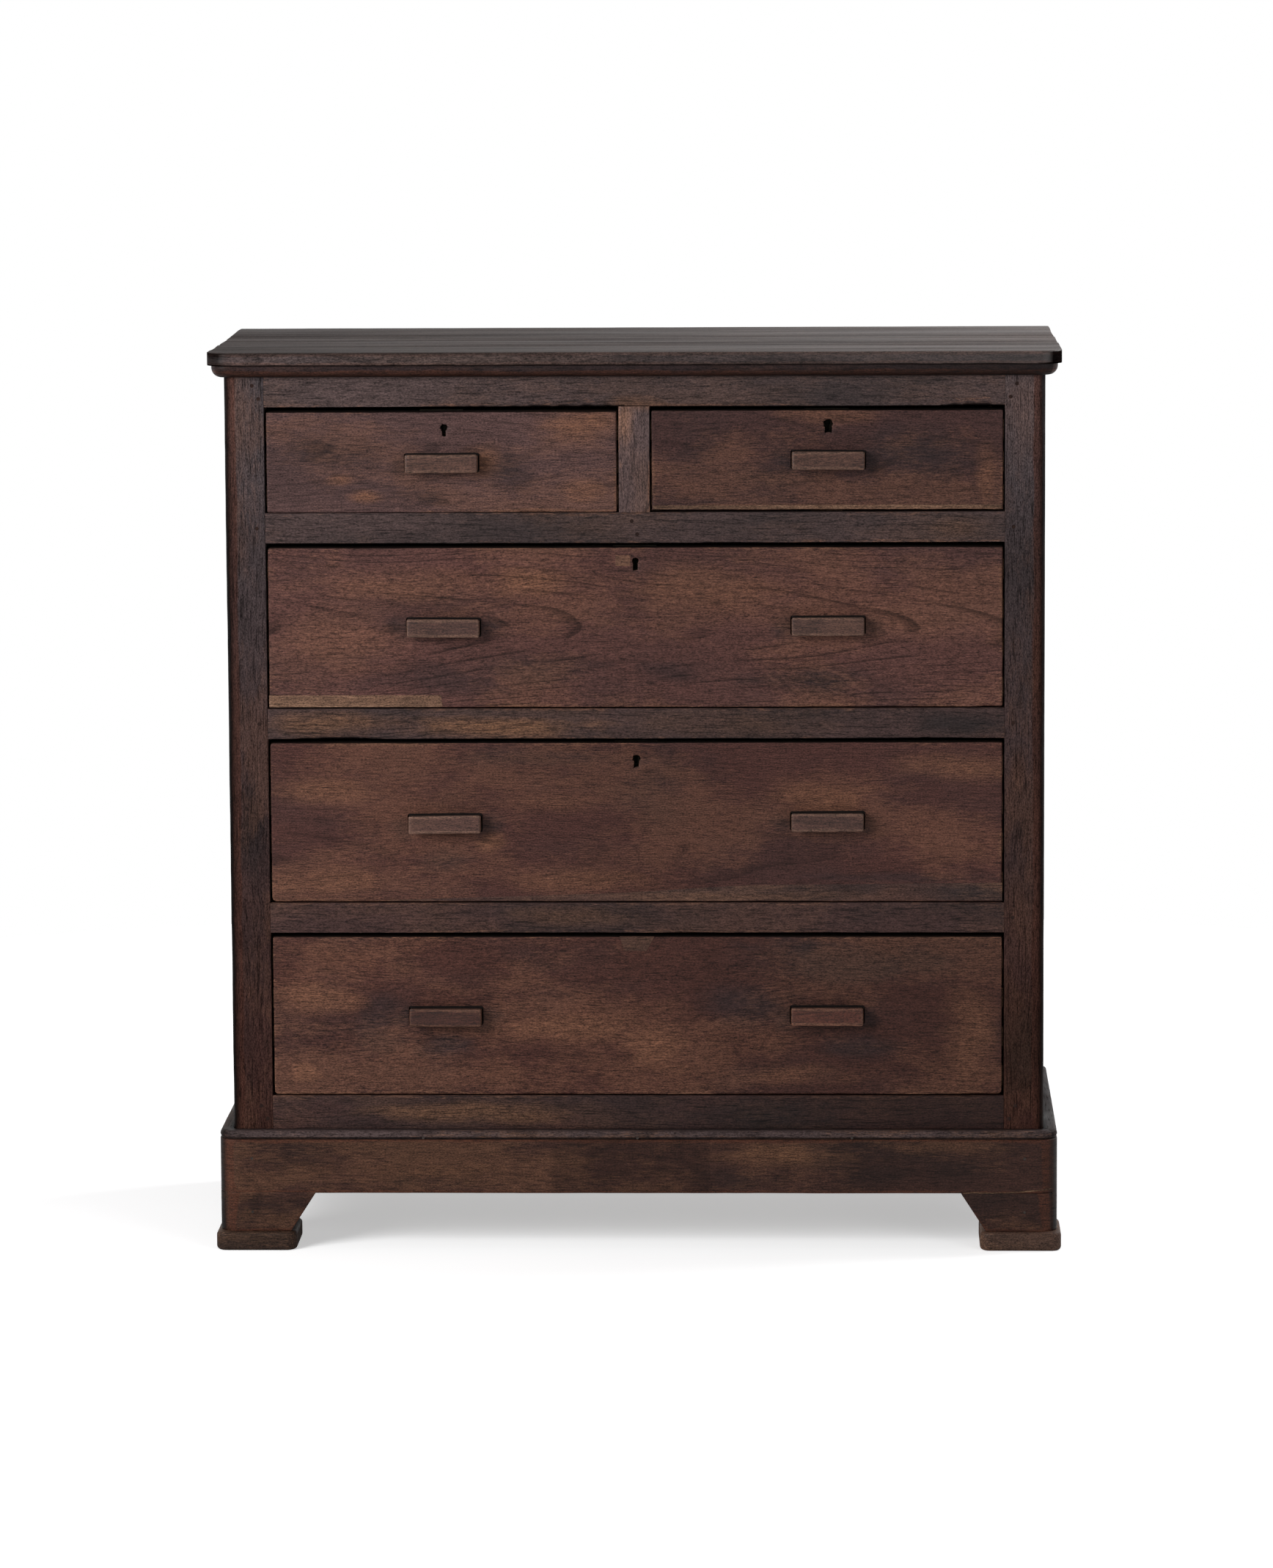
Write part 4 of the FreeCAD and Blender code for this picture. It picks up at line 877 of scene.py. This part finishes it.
# For each front: how high its foot is off the CAD's, how much is planed off its head, its wood, its
# keyhole, its tone at the left, middle and right, its worn corners, chips, pulls and spots. A pull
# has a middle, a height, a lean and a tone. The lower front has no hole, so its chips are a bar's.
fronts = {
    "top_left": dict(
        foot=-0.0010, planed=0.0024, plain=(0.0675, 0.0364, 0.0336), figure=0.3,
        hole=(-0.2455, 1.0795, 0.0048, 0.0026), faded=(0, 0, 0),
        corners=(0.0025, 0.002, 0.002, 0.002),
        chips=[(-0.12, 1.0998, 0.05, 0.001), (-0.06, 1.0998, 0.03, 0.0015)],
        pulls=[(-0.2485, 1.0325, 0.004, 0.0)],
        spots=[(-0.072, 1.075, 0.052, 0.026, 1.0), (-0.194, 1.035, 0.030, 0.019, 0.9),
               (-0.347, 0.987, 0.021, 0.009, 1.1), (-0.381, 1.011, 0.019, 0.009, 0.9),
               (-0.064, 0.998, 0.043, 0.017, 0.9), (-0.393, 1.049, 0.071, 0.024, -0.8),
               (-0.159, 1.024, 0.032, 0.025, -0.8), (-0.261, 0.986, 0.032, 0.013, -0.7)]),
    "top_right": dict(
        foot=0.0012, planed=0.0014, plain=(0.0415, 0.0197, 0.0177), figure=0.3,
        hole=(0.2505, 1.0825, 0.0062, 0.0046), faded=(0, 0, 0),
        corners=(0, 0, 0.002, 0.0025),
        chips=[(0.40, 1.1008, 0.04, 0.001)],
        pulls=[(0.2505, 1.0352, -0.008, -0.15)],
        spots=[(0.364, 1.043, 0.080, 0.030, -0.8), (0.085, 1.048, 0.045, 0.045, -0.3),
               (0.454, 1.012, 0.017, 0.038, 0.7), (0.175, 1.013, 0.057, 0.019, -0.5),
               (0.251, 1.093, 0.066, 0.015, 0.6), (0.25, 0.9745, 0.23, 0.0045, 0.9)]),
    "upper": dict(
        foot=0.0, planed=0.0018, plain=(0.0670, 0.0293, 0.0245), figure=0.6,
        hole=(0.001, 0.9060, 0.0043, 0.0030), faded=(0.15, -0.08, 0.08),
        corners=(0, 0.003, 0.0035, 0.002),
        chips=[(0.46, 0.7142, 0.02, 0.003)],
        pulls=[(-0.2480, 0.8192, -0.006, 0.12), (0.2498, 0.8206, 0.004, 0.06)],
        spots=[(-0.143, 0.878, 0.071, 0.023, 1.0), (0.094, 0.858, 0.114, 0.038, 0.7),
               (-0.414, 0.889, 0.067, 0.038, -0.3), (-0.254, 0.747, 0.114, 0.023, -0.6),
               (0.364, 0.832, 0.104, 0.038, 0.5), (0.228, 0.750, 0.075, 0.020, -0.9),
               (-0.39, 0.80, 0.09, 0.05, 0.5), (-0.12, 0.764, 0.08, 0.020, -0.7),
               (0.05, 0.756, 0.07, 0.016, -0.6), (-0.30, 0.868, 0.12, 0.022, 0.6)]),
    "middle": dict(
        foot=0.0, planed=0.0012, plain=(0.0525, 0.0212, 0.0173), figure=0.3,
        hole=(0.001, 0.6475, 0.0050, 0.0034), faded=(0.04, -0.14, 0.04),
        corners=(0.0065, 0, 0.0045, 0.0025),
        chips=[(-0.30, 0.669, 0.02, 0.001)],
        pulls=[(-0.2485, 0.5628, 0.010, 0.16), (0.2488, 0.5652, 0.006, 0.0)],
        spots=[(-0.389, 0.605, 0.086, 0.023, 0.8), (-0.400, 0.492, 0.077, 0.025, 0.8),
               (-0.191, 0.536, 0.023, 0.015, 1.0), (-0.248, 0.518, 0.038, 0.019, -0.7),
               (0.248, 0.597, 0.076, 0.023, 0.9), (0.03, 0.615, 0.06, 0.055, -0.6),
               (-0.12, 0.650, 0.14, 0.014, -0.6), (0.42, 0.632, 0.07, 0.020, 0.7),
               (-0.10, 0.590, 0.09, 0.018, 0.5), (-0.084, 0.487, 0.096, 0.019, 0.7),
               (0.33, 0.489, 0.16, 0.008, -0.6)]),
    "lower": dict(
        foot=0.0, planed=0.0012, plain=(0.0435, 0.0170, 0.0130), figure=0.3,
        hole=None, faded=(0.18, 0.0, -0.20),
        corners=(0.005, 0.006, 0.0025, 0.0025),
        chips=[(0, 0.93, 0.03, 0.002)],
        pulls=[(-0.2496, 0.3086, 0.002, -0.12), (0.2480, 0.3096, 0.0, 0.08)],
        spots=[(-0.423, 0.333, 0.058, 0.025, 0.8), (-0.076, 0.298, 0.106, 0.033, 0.8),
               (-0.435, 0.239, 0.029, 0.018, 0.9), (-0.342, 0.294, 0.053, 0.039, -0.7),
               (-0.253, 0.269, 0.043, 0.018, -0.8), (0.142, 0.322, 0.057, 0.027, -0.7),
               (0.27, 0.383, 0.10, 0.032, -1.0), (0.36, 0.388, 0.10, 0.024, -0.8),
               (0.028, 0.269, 0.058, 0.039, 0.8), (0.436, 0.274, 0.034, 0.068, 0.7),
               (0.288, 0.264, 0.057, 0.017, -0.7), (0.202, 0.226, 0.086, 0.014, 0.6)]),
}
front_ease = 0.0003
side_gap = 0.0011
for number, (name, fit) in enumerate(fronts.items()):
    # Darker patches round both ends of each pull.
    by_pull_ends = [(middle + way * 0.054, level - 0.002, 0.022, 0.018, -0.75)
                for middle, level, _, _ in fit["pulls"] for way in (-1, 1)]
    # Faces that look up are painted near black: shade in the gap under the rail above.
    front_teak = old_teak(name + "_front_teak", dark=(0.019, 0.0125, 0.0132), plain=fit["plain"],
                          warm=(0.148, 0.0665, 0.0380), worn=(0.11, 0.052, 0.032),
                          spots=fit["spots"] + by_pull_ends, figure=fit["figure"],
                          dust_and_shade=(0.93, (0.006, 0.0048, 0.0042), 1))
    low, high = (np.array(corner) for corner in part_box(name + "_drawer_front"))
    low = low + (front_ease, 0, fit["foot"])
    high = high - front_ease
    if fit["hole"] is None:
        rings, edge = worn_bar(high[0] - low[0], (low[1], high[1]), (low[2], high[2]),
                               (0.0016, 0.0006, 0.0006, 0.0016), ends=0.0012, wear=0.5,
                               seed=500 + number, chips=fit["chips"], step=0.003)
        front = bar_skin(rings, edge, lambda at: at + (low[0], 0, 0), seed=510 + number,
                         order=(0, 2, 1))
    else:
        front = keyed_front(low, high, fit["hole"], 510 + 7 * number, fit["chips"])
    front["tone"] = np.interp(front["points"][:, 0], (-0.35, 0.03, 0.35), fit["faded"])
    points = round_corners(front["points"], low, high, fit["corners"])
    across, inwards, up = ((points - low) / (high - low)).T
    slim = np.stack([side_gap * (1 - 2 * across), 0 * across, -fit["planed"] * up], 1)
    front["points"] = points + slim * (1 - inwards[:, None])
    piece(name + "_front_worn", [front], front_teak, name + "_drawer", "front_teak",
          name + "_drawer_front")


# Patches in the fronts
# Later repairs in teak: a pale strip and a small square let into the upper front, a thin strip
# under the right short one, a long wedge in the foot of the middle one, a plug for a lost lock.
pale_teak = old_teak("pale_teak", dark=(0.060, 0.036, 0.024), plain=(0.145, 0.078, 0.050),
                     warm=(0.225, 0.125, 0.078), worn=(0.22, 0.13, 0.085), stain=0.5, glow=0.5)
plug_teak = old_teak("plug_teak", dark=(0.020, 0.013, 0.011), plain=(0.060, 0.030, 0.021),
                     warm=(0.11, 0.055, 0.034), worn=(0.10, 0.05, 0.03), stain=0.5, glow=0.4)
wedge_teak = old_teak("wedge_teak", dark=(0.016, 0.013, 0.014), plain=(0.056, 0.028, 0.022),
                      warm=(0.12, 0.06, 0.036), worn=(0.12, 0.06, 0.036),
                      spots=[(0.44, 0.472, 0.05, 0.014, -0.8), (0.1, 0.465, 0.15, 0.01, 0.7)],
                      stain=0.6, glow=0.4)
drawer_face = -0.2170
patch_deep = 0.002


def patch(name, finish, body, ends_low, ends_high, levels, proud, seed, tone=0.0):
    """A thin flat bar let into a face: its ends go from one pair at its foot to one at its head."""
    rings, edge = worn_bar(1.0, (drawer_face - proud, drawer_face + patch_deep), levels,
                           (0.0003,) * 4, ends=0.0005, wear=0.3, seed=seed, step=0.02)
    share = (rings[:, :, 2] - levels[0]) / (levels[1] - levels[0])
    left, right = (low + (high - low) * share for low, high in zip(ends_low, ends_high))
    rings[:, :, 0] = left + (right - left) * rings[:, :, 0]
    skins = [bar_skin(rings, edge, lambda at: at, seed=seed, tone=tone, order=(0, 2, 1))]
    piece(name, skins, finish, body, "front_teak")


patch("upper_front_strip", pale_teak, "upper_drawer", ends_low=(-0.4758, -0.2505),
      ends_high=(-0.4758, -0.2525), levels=(0.7146, 0.7302), proud=0.0002, seed=701)
patch("top_right_front_strip", pale_teak, "top_right_drawer", ends_low=(0.0240, 0.4738),
      ends_high=(0.0240, 0.4738), levels=(0.9712, 0.9764), proud=0.0002, seed=706, tone=-0.3)
patch("upper_front_square", plug_teak, "upper_drawer", ends_low=(-0.0250, -0.0055),
      ends_high=(-0.0250, -0.0055), levels=(0.8978, 0.9118), proud=0.0001, seed=702, tone=0.25)
patch("lower_front_plug", plug_teak, "lower_drawer", ends_low=(-0.0160, 0.0130),
      ends_high=(-0.0225, 0.0235), levels=(0.3938, 0.4128), proud=0.0001, seed=703)
wedge_long = 0.80
wedge_left = -0.3245
wedge_foot = 0.4600
rings, edge = worn_bar(wedge_long, (drawer_face - 0.0001, drawer_face + patch_deep), (0, 1),
                       (0.0003,) * 4, ends=0.0005, wear=0.3, seed=704, step=0.02)
rise = np.interp(rings[:, :, 0], (0, 0.30, 0.465, wedge_long), (0.0012, 0.0100, 0.0205, 0.0235))
rings[:, :, 2] = wedge_foot + rings[:, :, 2] * rise
skins = [bar_skin(rings, edge, lambda at: at + (wedge_left, 0, 0), seed=705, order=(0, 2, 1))]
piece("middle_front_wedge", skins, wedge_teak, "middle_drawer", "front_teak")


# Pulls
# Blocks of teak, undercut for the fingers and glued in by round tenons, redder on the lower drawer.
# Their arrises are worn smooth and lighter, their tops painted darker as shade, and round
# their feet lies a thin dark sheet of old black wax and painted contact shadow.
# Faces that look up are painted darker: shade on the tops of the pulls.
pull_teak = old_teak("pull_teak", dark=(0.018, 0.011, 0.010), plain=(0.055, 0.0262, 0.0203),
                     warm=(0.095, 0.047, 0.031), worn=(0.110, 0.060, 0.042), stain=0.4, rub=0.7,
                     rough=0.42, shine=0.2, dust_and_shade=(0.6, (0.02, 0.013, 0.011), 1))
red_pull_teak = old_teak("red_pull_teak", dark=(0.017, 0.009, 0.008),
                         plain=(0.0500, 0.0165, 0.0110), warm=(0.090, 0.036, 0.021),
                         worn=(0.100, 0.046, 0.029), stain=0.4, rub=0.7, rough=0.42, shine=0.2,
                         dust_and_shade=(0.6, (0.02, 0.012, 0.010), 1))
# A thin dark sheet round each pull's foot: old black wax, and painted contact shadow.
wax_and_shadow = plain_finish("wax_and_shadow", (0.007, 0.005, 0.0045), spread=0.5, cells=200, rough=0.6,
                       metal=0.0, shine=0.05)
pull_half = 0.0470
pull_out = 0.021
pull_high = 0.0123
pull_foot = -0.2169
undercut = 0.22
wax_and_shadow_half = pull_half + 0.0017


def set_on_front(half, middle, level, lean):
    """Sets a bar on a drawer's face: along goes right and rises by the lean, across comes out."""
    return lambda at: np.stack([at[:, 0] - half + middle, pull_foot - at[:, 1],
                                at[:, 2] + level + (at[:, 0] - half) * lean], 1)


for number, (name, fit) in enumerate(fronts.items()):
    pull_skins = []
    wax_and_shadow_skins = []
    for side, (middle, level, lean, tone) in enumerate(fit["pulls"]):
        seed = 2 * number + side
        rings, edge = worn_bar(2 * pull_half, (0, pull_out), (-pull_high, pull_high),
                               (0.0012, 0.0024, 0.0024, 0.0012), ends=0.0030, wear=0.3,
                               seed=540 + seed, step=0.004)
        rings[:, :, 2] *= 1 - undercut + undercut * rings[:, :, 1] / pull_out
        pull_skins.append(bar_skin(rings, edge, set_on_front(pull_half, middle, level, lean),
                                   seed=560 + seed, tone=tone, order=(0, 2, 1)))
        rings, edge = worn_bar(2 * wax_and_shadow_half, (0, 0.0004), (-pull_high - 0.0006, pull_high + 0.0003),
                               (0.0002,) * 4, ends=0.003, wear=0.2, seed=720 + seed, step=0.004)
        wax_and_shadow_skins.append(bar_skin(rings, edge, set_on_front(wax_and_shadow_half, middle, level, lean),
                                  seed=740 + number))
    piece(name + "_pulls_worn", pull_skins, red_pull_teak if name == "lower" else pull_teak,
          name + "_drawer", "front_teak", name + "_drawer_pulls")
    piece(name + "_pull_wax_and_shadow", wax_and_shadow_skins, wax_and_shadow, name + "_drawer", "front_teak")


# Locks
# Half-mortise locks of brass let into the backs of four fronts, each with a steel bolt that rises
# into the rail above. Both have gone dull, and the brass is painted near black as the shade seen
# through the keyholes.
lock_brass = plain_finish("lock_brass", (0.010, 0.008, 0.0055), spread=0.4, cells=90, rough=0.6,
                          metal=0.6, shine=0.1)
bolt_steel = plain_finish("bolt_steel", (0.24, 0.22, 0.20), spread=0.35, cells=110, rough=0.5,
                          metal=0.9)
for name, fit in fronts.items():
    if fit["hole"]:
        dress(lock_brass, name + "_lock")
        dress(bolt_steel, name + "_lock_bolt")


# Moulding under the top
# A rounded strip of teak mitred round the front and sides under the slab and nailed up into it. Its
# lower edge has rubbed through to red wood.
moulding_teak = old_teak("moulding_teak", dark=(0.007, 0.0055, 0.006),
                         plain=(0.0165, 0.0095, 0.0095), warm=(0.045, 0.020, 0.013),
                         worn=(0.047, 0.0165, 0.0095), stain=0.5, rub=0.75)
moulding_outer = 0.546
moulding_face = -0.234
moulding_corner = 0.023
moulding_thick = 0.016
moulding_low = 1.1437
moulding_round = 0.0120
top_low = 1.159
skins = []
for number, way in enumerate(round_about):
    place, length = round_case(moulding_outer, moulding_face, moulding_corner, way)
    rings, edge = worn_bar(length, (-moulding_thick, -sunk), (moulding_low, top_low),
                           (0.0004, moulding_round, 0.0006, 0.0003), ends=0.0002, wear=0.05,
                           seed=580 + number, step=0.006)
    level = rings[:, :, 2] - moulding_low
    edge = np.maximum(np.abs(level - 0.0045) - 0.0018, 0) + on_arris
    # Painted shade: near black at the foot of the round, where it looks down, getting lighter
    # upwards; along the front it is darker at the left end and towards the right.
    light = np.interp(level, (0, 0.0018, 0.0063, 0.0098), (0.25, 0.55, 0.95, 1.25))
    if way == 0:
        light = light * np.interp(rings[:, :, 0] - length / 2, (-0.545, -0.50, 0, 0.3, 0.5),
                                  (0.5, 1.0, 0.9, 0.68, 0.42))
    skins.append(bar_skin(rings, edge, place, seed=590 + number, tone=light - 1))
piece("top_moulding_worn", skins, moulding_teak, "carcase", "frame_teak", "top_moulding")


# Top
# Three teak boards glued edge to edge into one slab, round at the front corners and along the
# edges. The wax on it has gone grey and dusty, and its ends are worn uneven.
top_teak = old_teak("top_teak", dark=(0.013, 0.0110, 0.0110), plain=(0.053, 0.0375, 0.0360),
                    warm=(0.09, 0.056, 0.044), worn=(0.066, 0.038, 0.031), stain=0.5, rub=0.8,
                    bands=0.95, dust_and_shade=(0.5, (0.068, 0.054, 0.049), 1), rough=0.6, shine=0.0,
                    coat=0.54)
top_outer = 0.551
top_face = -0.239
top_high = 1.176
top_corner = 0.028
top_edge = 0.003
joint_corner = 0.004
joint_edge = 0.0006


def slab_board(near, far, corner, worn_ends):
    """Puts a board of the slab in place, rounds its corners in plan and wears its ends.

    Near an end, a board's edge is turned along a quarter circle, a corner's at its front and a
    small one's at its rear, with the points between in proportion. Then both ends are drawn in by
    a wandering line and by a length for each, less and less along the board.
    """

    def place(at):
        """The distance to the nearer end becomes an arc's, and across gives way by the same arc."""
        share = np.clip((at[:, 1] - near) / (far - near), 0, 1)
        from_end = np.minimum(at[:, 0], 2 * top_outer - at[:, 0])
        side, back = from_end, at[:, 1]
        for radius, weight, way in ((corner, 1 - share, 1), (joint_corner, share, -1)):
            turned = np.pi / 2 * np.minimum(from_end / radius, 1)
            arc = radius * (1 - np.cos(turned)) - from_end
            side = side + weight * np.where(from_end < radius, arc, 0)
            back = back + way * weight * radius * (1 - np.sin(turned))
        left = at[:, 0] < top_outer
        worn_in = np.where(left, 0.0012 * (1 + wander(at[:, 1] + 1, 0.05, 611)),
                           0.0006 * (1 + wander(at[:, 1] + 1, 0.08, 612)))
        worn_in = worn_in * (at[:, 1] > -0.19) + np.where(left, *worn_ends)
        side = side + worn_in * np.clip(1 - from_end / 0.1, 0, 1)
        return np.stack([np.where(left, side - top_outer, top_outer - side), back, at[:, 2]], 1)

    return place


def slab_tone(rings, near, lighter, front):
    """How dark a board is: by its place from left to right, on its surface and along its edges.

    The underside is painted dark, as shade at the joint with the moulding. The surface is painted
    darker at the left and lighter at the right, and the edges lighter at the left and darker at
    the right, as light and shade from the lamps. On the front board, the bends at both ends are
    painted dark, as shade on the rounds turned away, and the upper arris darkens towards the left.
    """
    across, level = rings[:, :, 0] - top_outer, rings[:, :, 2]
    surface = np.interp(across, (-0.5, 0, 0.5), (-0.25, -0.14, 0.15))
    edges = np.interp(across, (-0.53, -0.45, -0.1, 0.2, 0.45, 0.53),
                      (0.14, 0.36, -0.12, -0.38, -0.31, -0.16))
    tone = np.where(level > top_high - 0.0015, surface, edges) + lighter
    tone = np.where(level < top_low + 0.0016, -0.8, tone)
    if front:
        from_front = rings[:, :, 1] - near
        left = across < 0
        bend = (0.0285 - top_outer + np.abs(across)) / np.where(left, 0.006, 0.011)
        bend = np.clip(bend, 0, 1) * np.clip((0.045 - from_front) / 0.02, 0, 1)
        bend = bend * np.where(left, 0.78, 0.87) * (level < top_high - 0.0003)
        arris = (level > top_high - 0.0045) & (level < top_high - 0.0002) & (from_front < 0.004)
        arris = 0.45 * np.clip((-0.05 - across) / 0.15, 0, 1) * arris
        tone = (1 + tone) * (1 - bend) * (1 - arris) - 1
    return tone


# Each board's front and rear edge, how far its left and right end are worn in, and its tone.
boards = ((top_face, -0.085, (0, 0), -0.02), (-0.085, 0.030, (0.0018, 0.0012), 0.05),
          (0.030, case_back, (0.0006, 0.0022), 0.0))
skins = []
for number, (near, far, worn_ends, lighter) in enumerate(boards):
    front = top_edge if number == 0 else joint_edge
    rear = top_edge if number == 2 else joint_edge
    rings, edge = worn_bar(2 * top_outer, (near, far), (top_low, top_high),
                           (front, rear, rear, front), ends=0.0028, wear=0.3, seed=600 + number,
                           step=0.0035, near=(0.003, 0.01, 0.03, 0.06))
    place = slab_board(near, far, top_corner if number == 0 else joint_corner, worn_ends)
    skins.append(bar_skin(rings, edge, place, seed=620 + number,
                          tone=slab_tone(rings, near, lighter, number == 0)))
piece("top_slab", skins, top_teak, "carcase", "top_teak", "top_board")


# Studio
# A pale floor and a white surround, soft lamps ahead and above on both sides, and a long lens a
# little to the right of the middle.
floor_radius = 2.6
spoke = np.linspace(0, 2 * np.pi, 97)[:-1]
rim = floor_radius * np.stack([np.cos(spoke), np.sin(spoke), 0 * spoke], 1)
floor_mesh = bpy.data.meshes.new("floor")
floor_mesh.from_pydata(rim.tolist(), [], [tuple(range(len(spoke)))])
floor = bpy.data.objects.new("floor", floor_mesh)
bpy.context.scene.collection.objects.link(floor)
floor_paint, start, sockets = new_finish("floor_paint")
sockets["Base Color"].default_value = (0.86, 0.86, 0.86, 1)
sockets["Roughness"].default_value = 0.9
sockets["Specular IOR Level"].default_value = 0.0
sockets["Emission Strength"].default_value = 1.0
seen = start.node("LightPath", {}, {}, "Is Camera Ray")
place = start.node("TexCoord", {}, {}, "Object")
away = start.node("VectorMath", {"operation": "LENGTH"}, {0: place}, "Value")
whiter = seen * (0.45 + step_up(away, 0.8, 2.2) * 0.55)
blend(whiter, (0, 0, 0), (1, 1, 1)).feed(sockets["Emission Color"])
floor_mesh.materials.append(floor_paint)

world = bpy.data.worlds.new("studio")
bpy.context.scene.world = world
world.use_nodes = True
sky = Wire(world.node_tree)
rays = [sky.node("LightPath", {}, {}, name)
        for name in ("Is Camera Ray", "Is Glossy Ray", "Is Transmission Ray")]
direct = sky.math("MAXIMUM", rays[0], sky.math("MAXIMUM", rays[1], rays[2]))
backdrop = world.node_tree.nodes["Background"].inputs
blend(direct, (0.24, 0.24, 0.245), (1, 1, 1)).feed(backdrop["Color"])
backdrop["Strength"].default_value = 1.0


def stand(name, data, right, up, forward, place):
    """An object at a place that looks forward, with its right and its up."""
    made = bpy.data.objects.new(name, data)
    turned = np.eye(4)
    turned[:3, :4] = np.stack([right, up, -forward, place], 1)
    made.matrix_world = Matrix(turned)
    bpy.context.scene.collection.objects.link(made)
    return made


def lamp(name, place, target, size, power):
    """A square soft lamp that looks from its place to a target."""
    light = bpy.data.lights.new(name, "AREA")
    light.size = size
    light.energy = power
    forward = np.array(target) - place
    forward = forward / np.linalg.norm(forward)
    right = np.cross(forward, (0, 0, 1))
    right = right / np.linalg.norm(right)
    stand(name, light, right, np.cross(right, forward), forward, place)


lamp("key_lamp", place=(-3.0, -3.2, 2.2), target=(0, -0.2, 0.7), size=2.0, power=190)
lamp("fill_lamp", place=(3.4, -4.6, 1.8), target=(0, -0.2, 0.6), size=2.0, power=52)
lamp("top_lamp", place=(2.3, 0.9, 2.3), target=(0.5, 0, 1.1), size=1.4, power=62)

yaw, tilt, roll = 0.0319, -0.1365, 0.0056
camera_place = (0.26727, -8.56705, 1.76092)
turn_z = [[np.cos(yaw), -np.sin(yaw), 0], [np.sin(yaw), np.cos(yaw), 0], [0, 0, 1]]
turn_x = [[1, 0, 0], [0, np.cos(tilt), -np.sin(tilt)], [0, np.sin(tilt), np.cos(tilt)]]
turn_y = [[np.cos(roll), 0, np.sin(roll)], [0, 1, 0], [-np.sin(roll), 0, np.cos(roll)]]
right, forward, up = (np.array(turn_z) @ turn_x @ turn_y).T
lens = bpy.data.cameras.new("camera")
lens.lens = 149.09
lens.sensor_width = 36
lens.clip_end = 100
bpy.context.scene.camera = stand("camera", lens, right, up, forward, camera_place)
bpy.context.scene.view_settings.view_transform = "Standard"
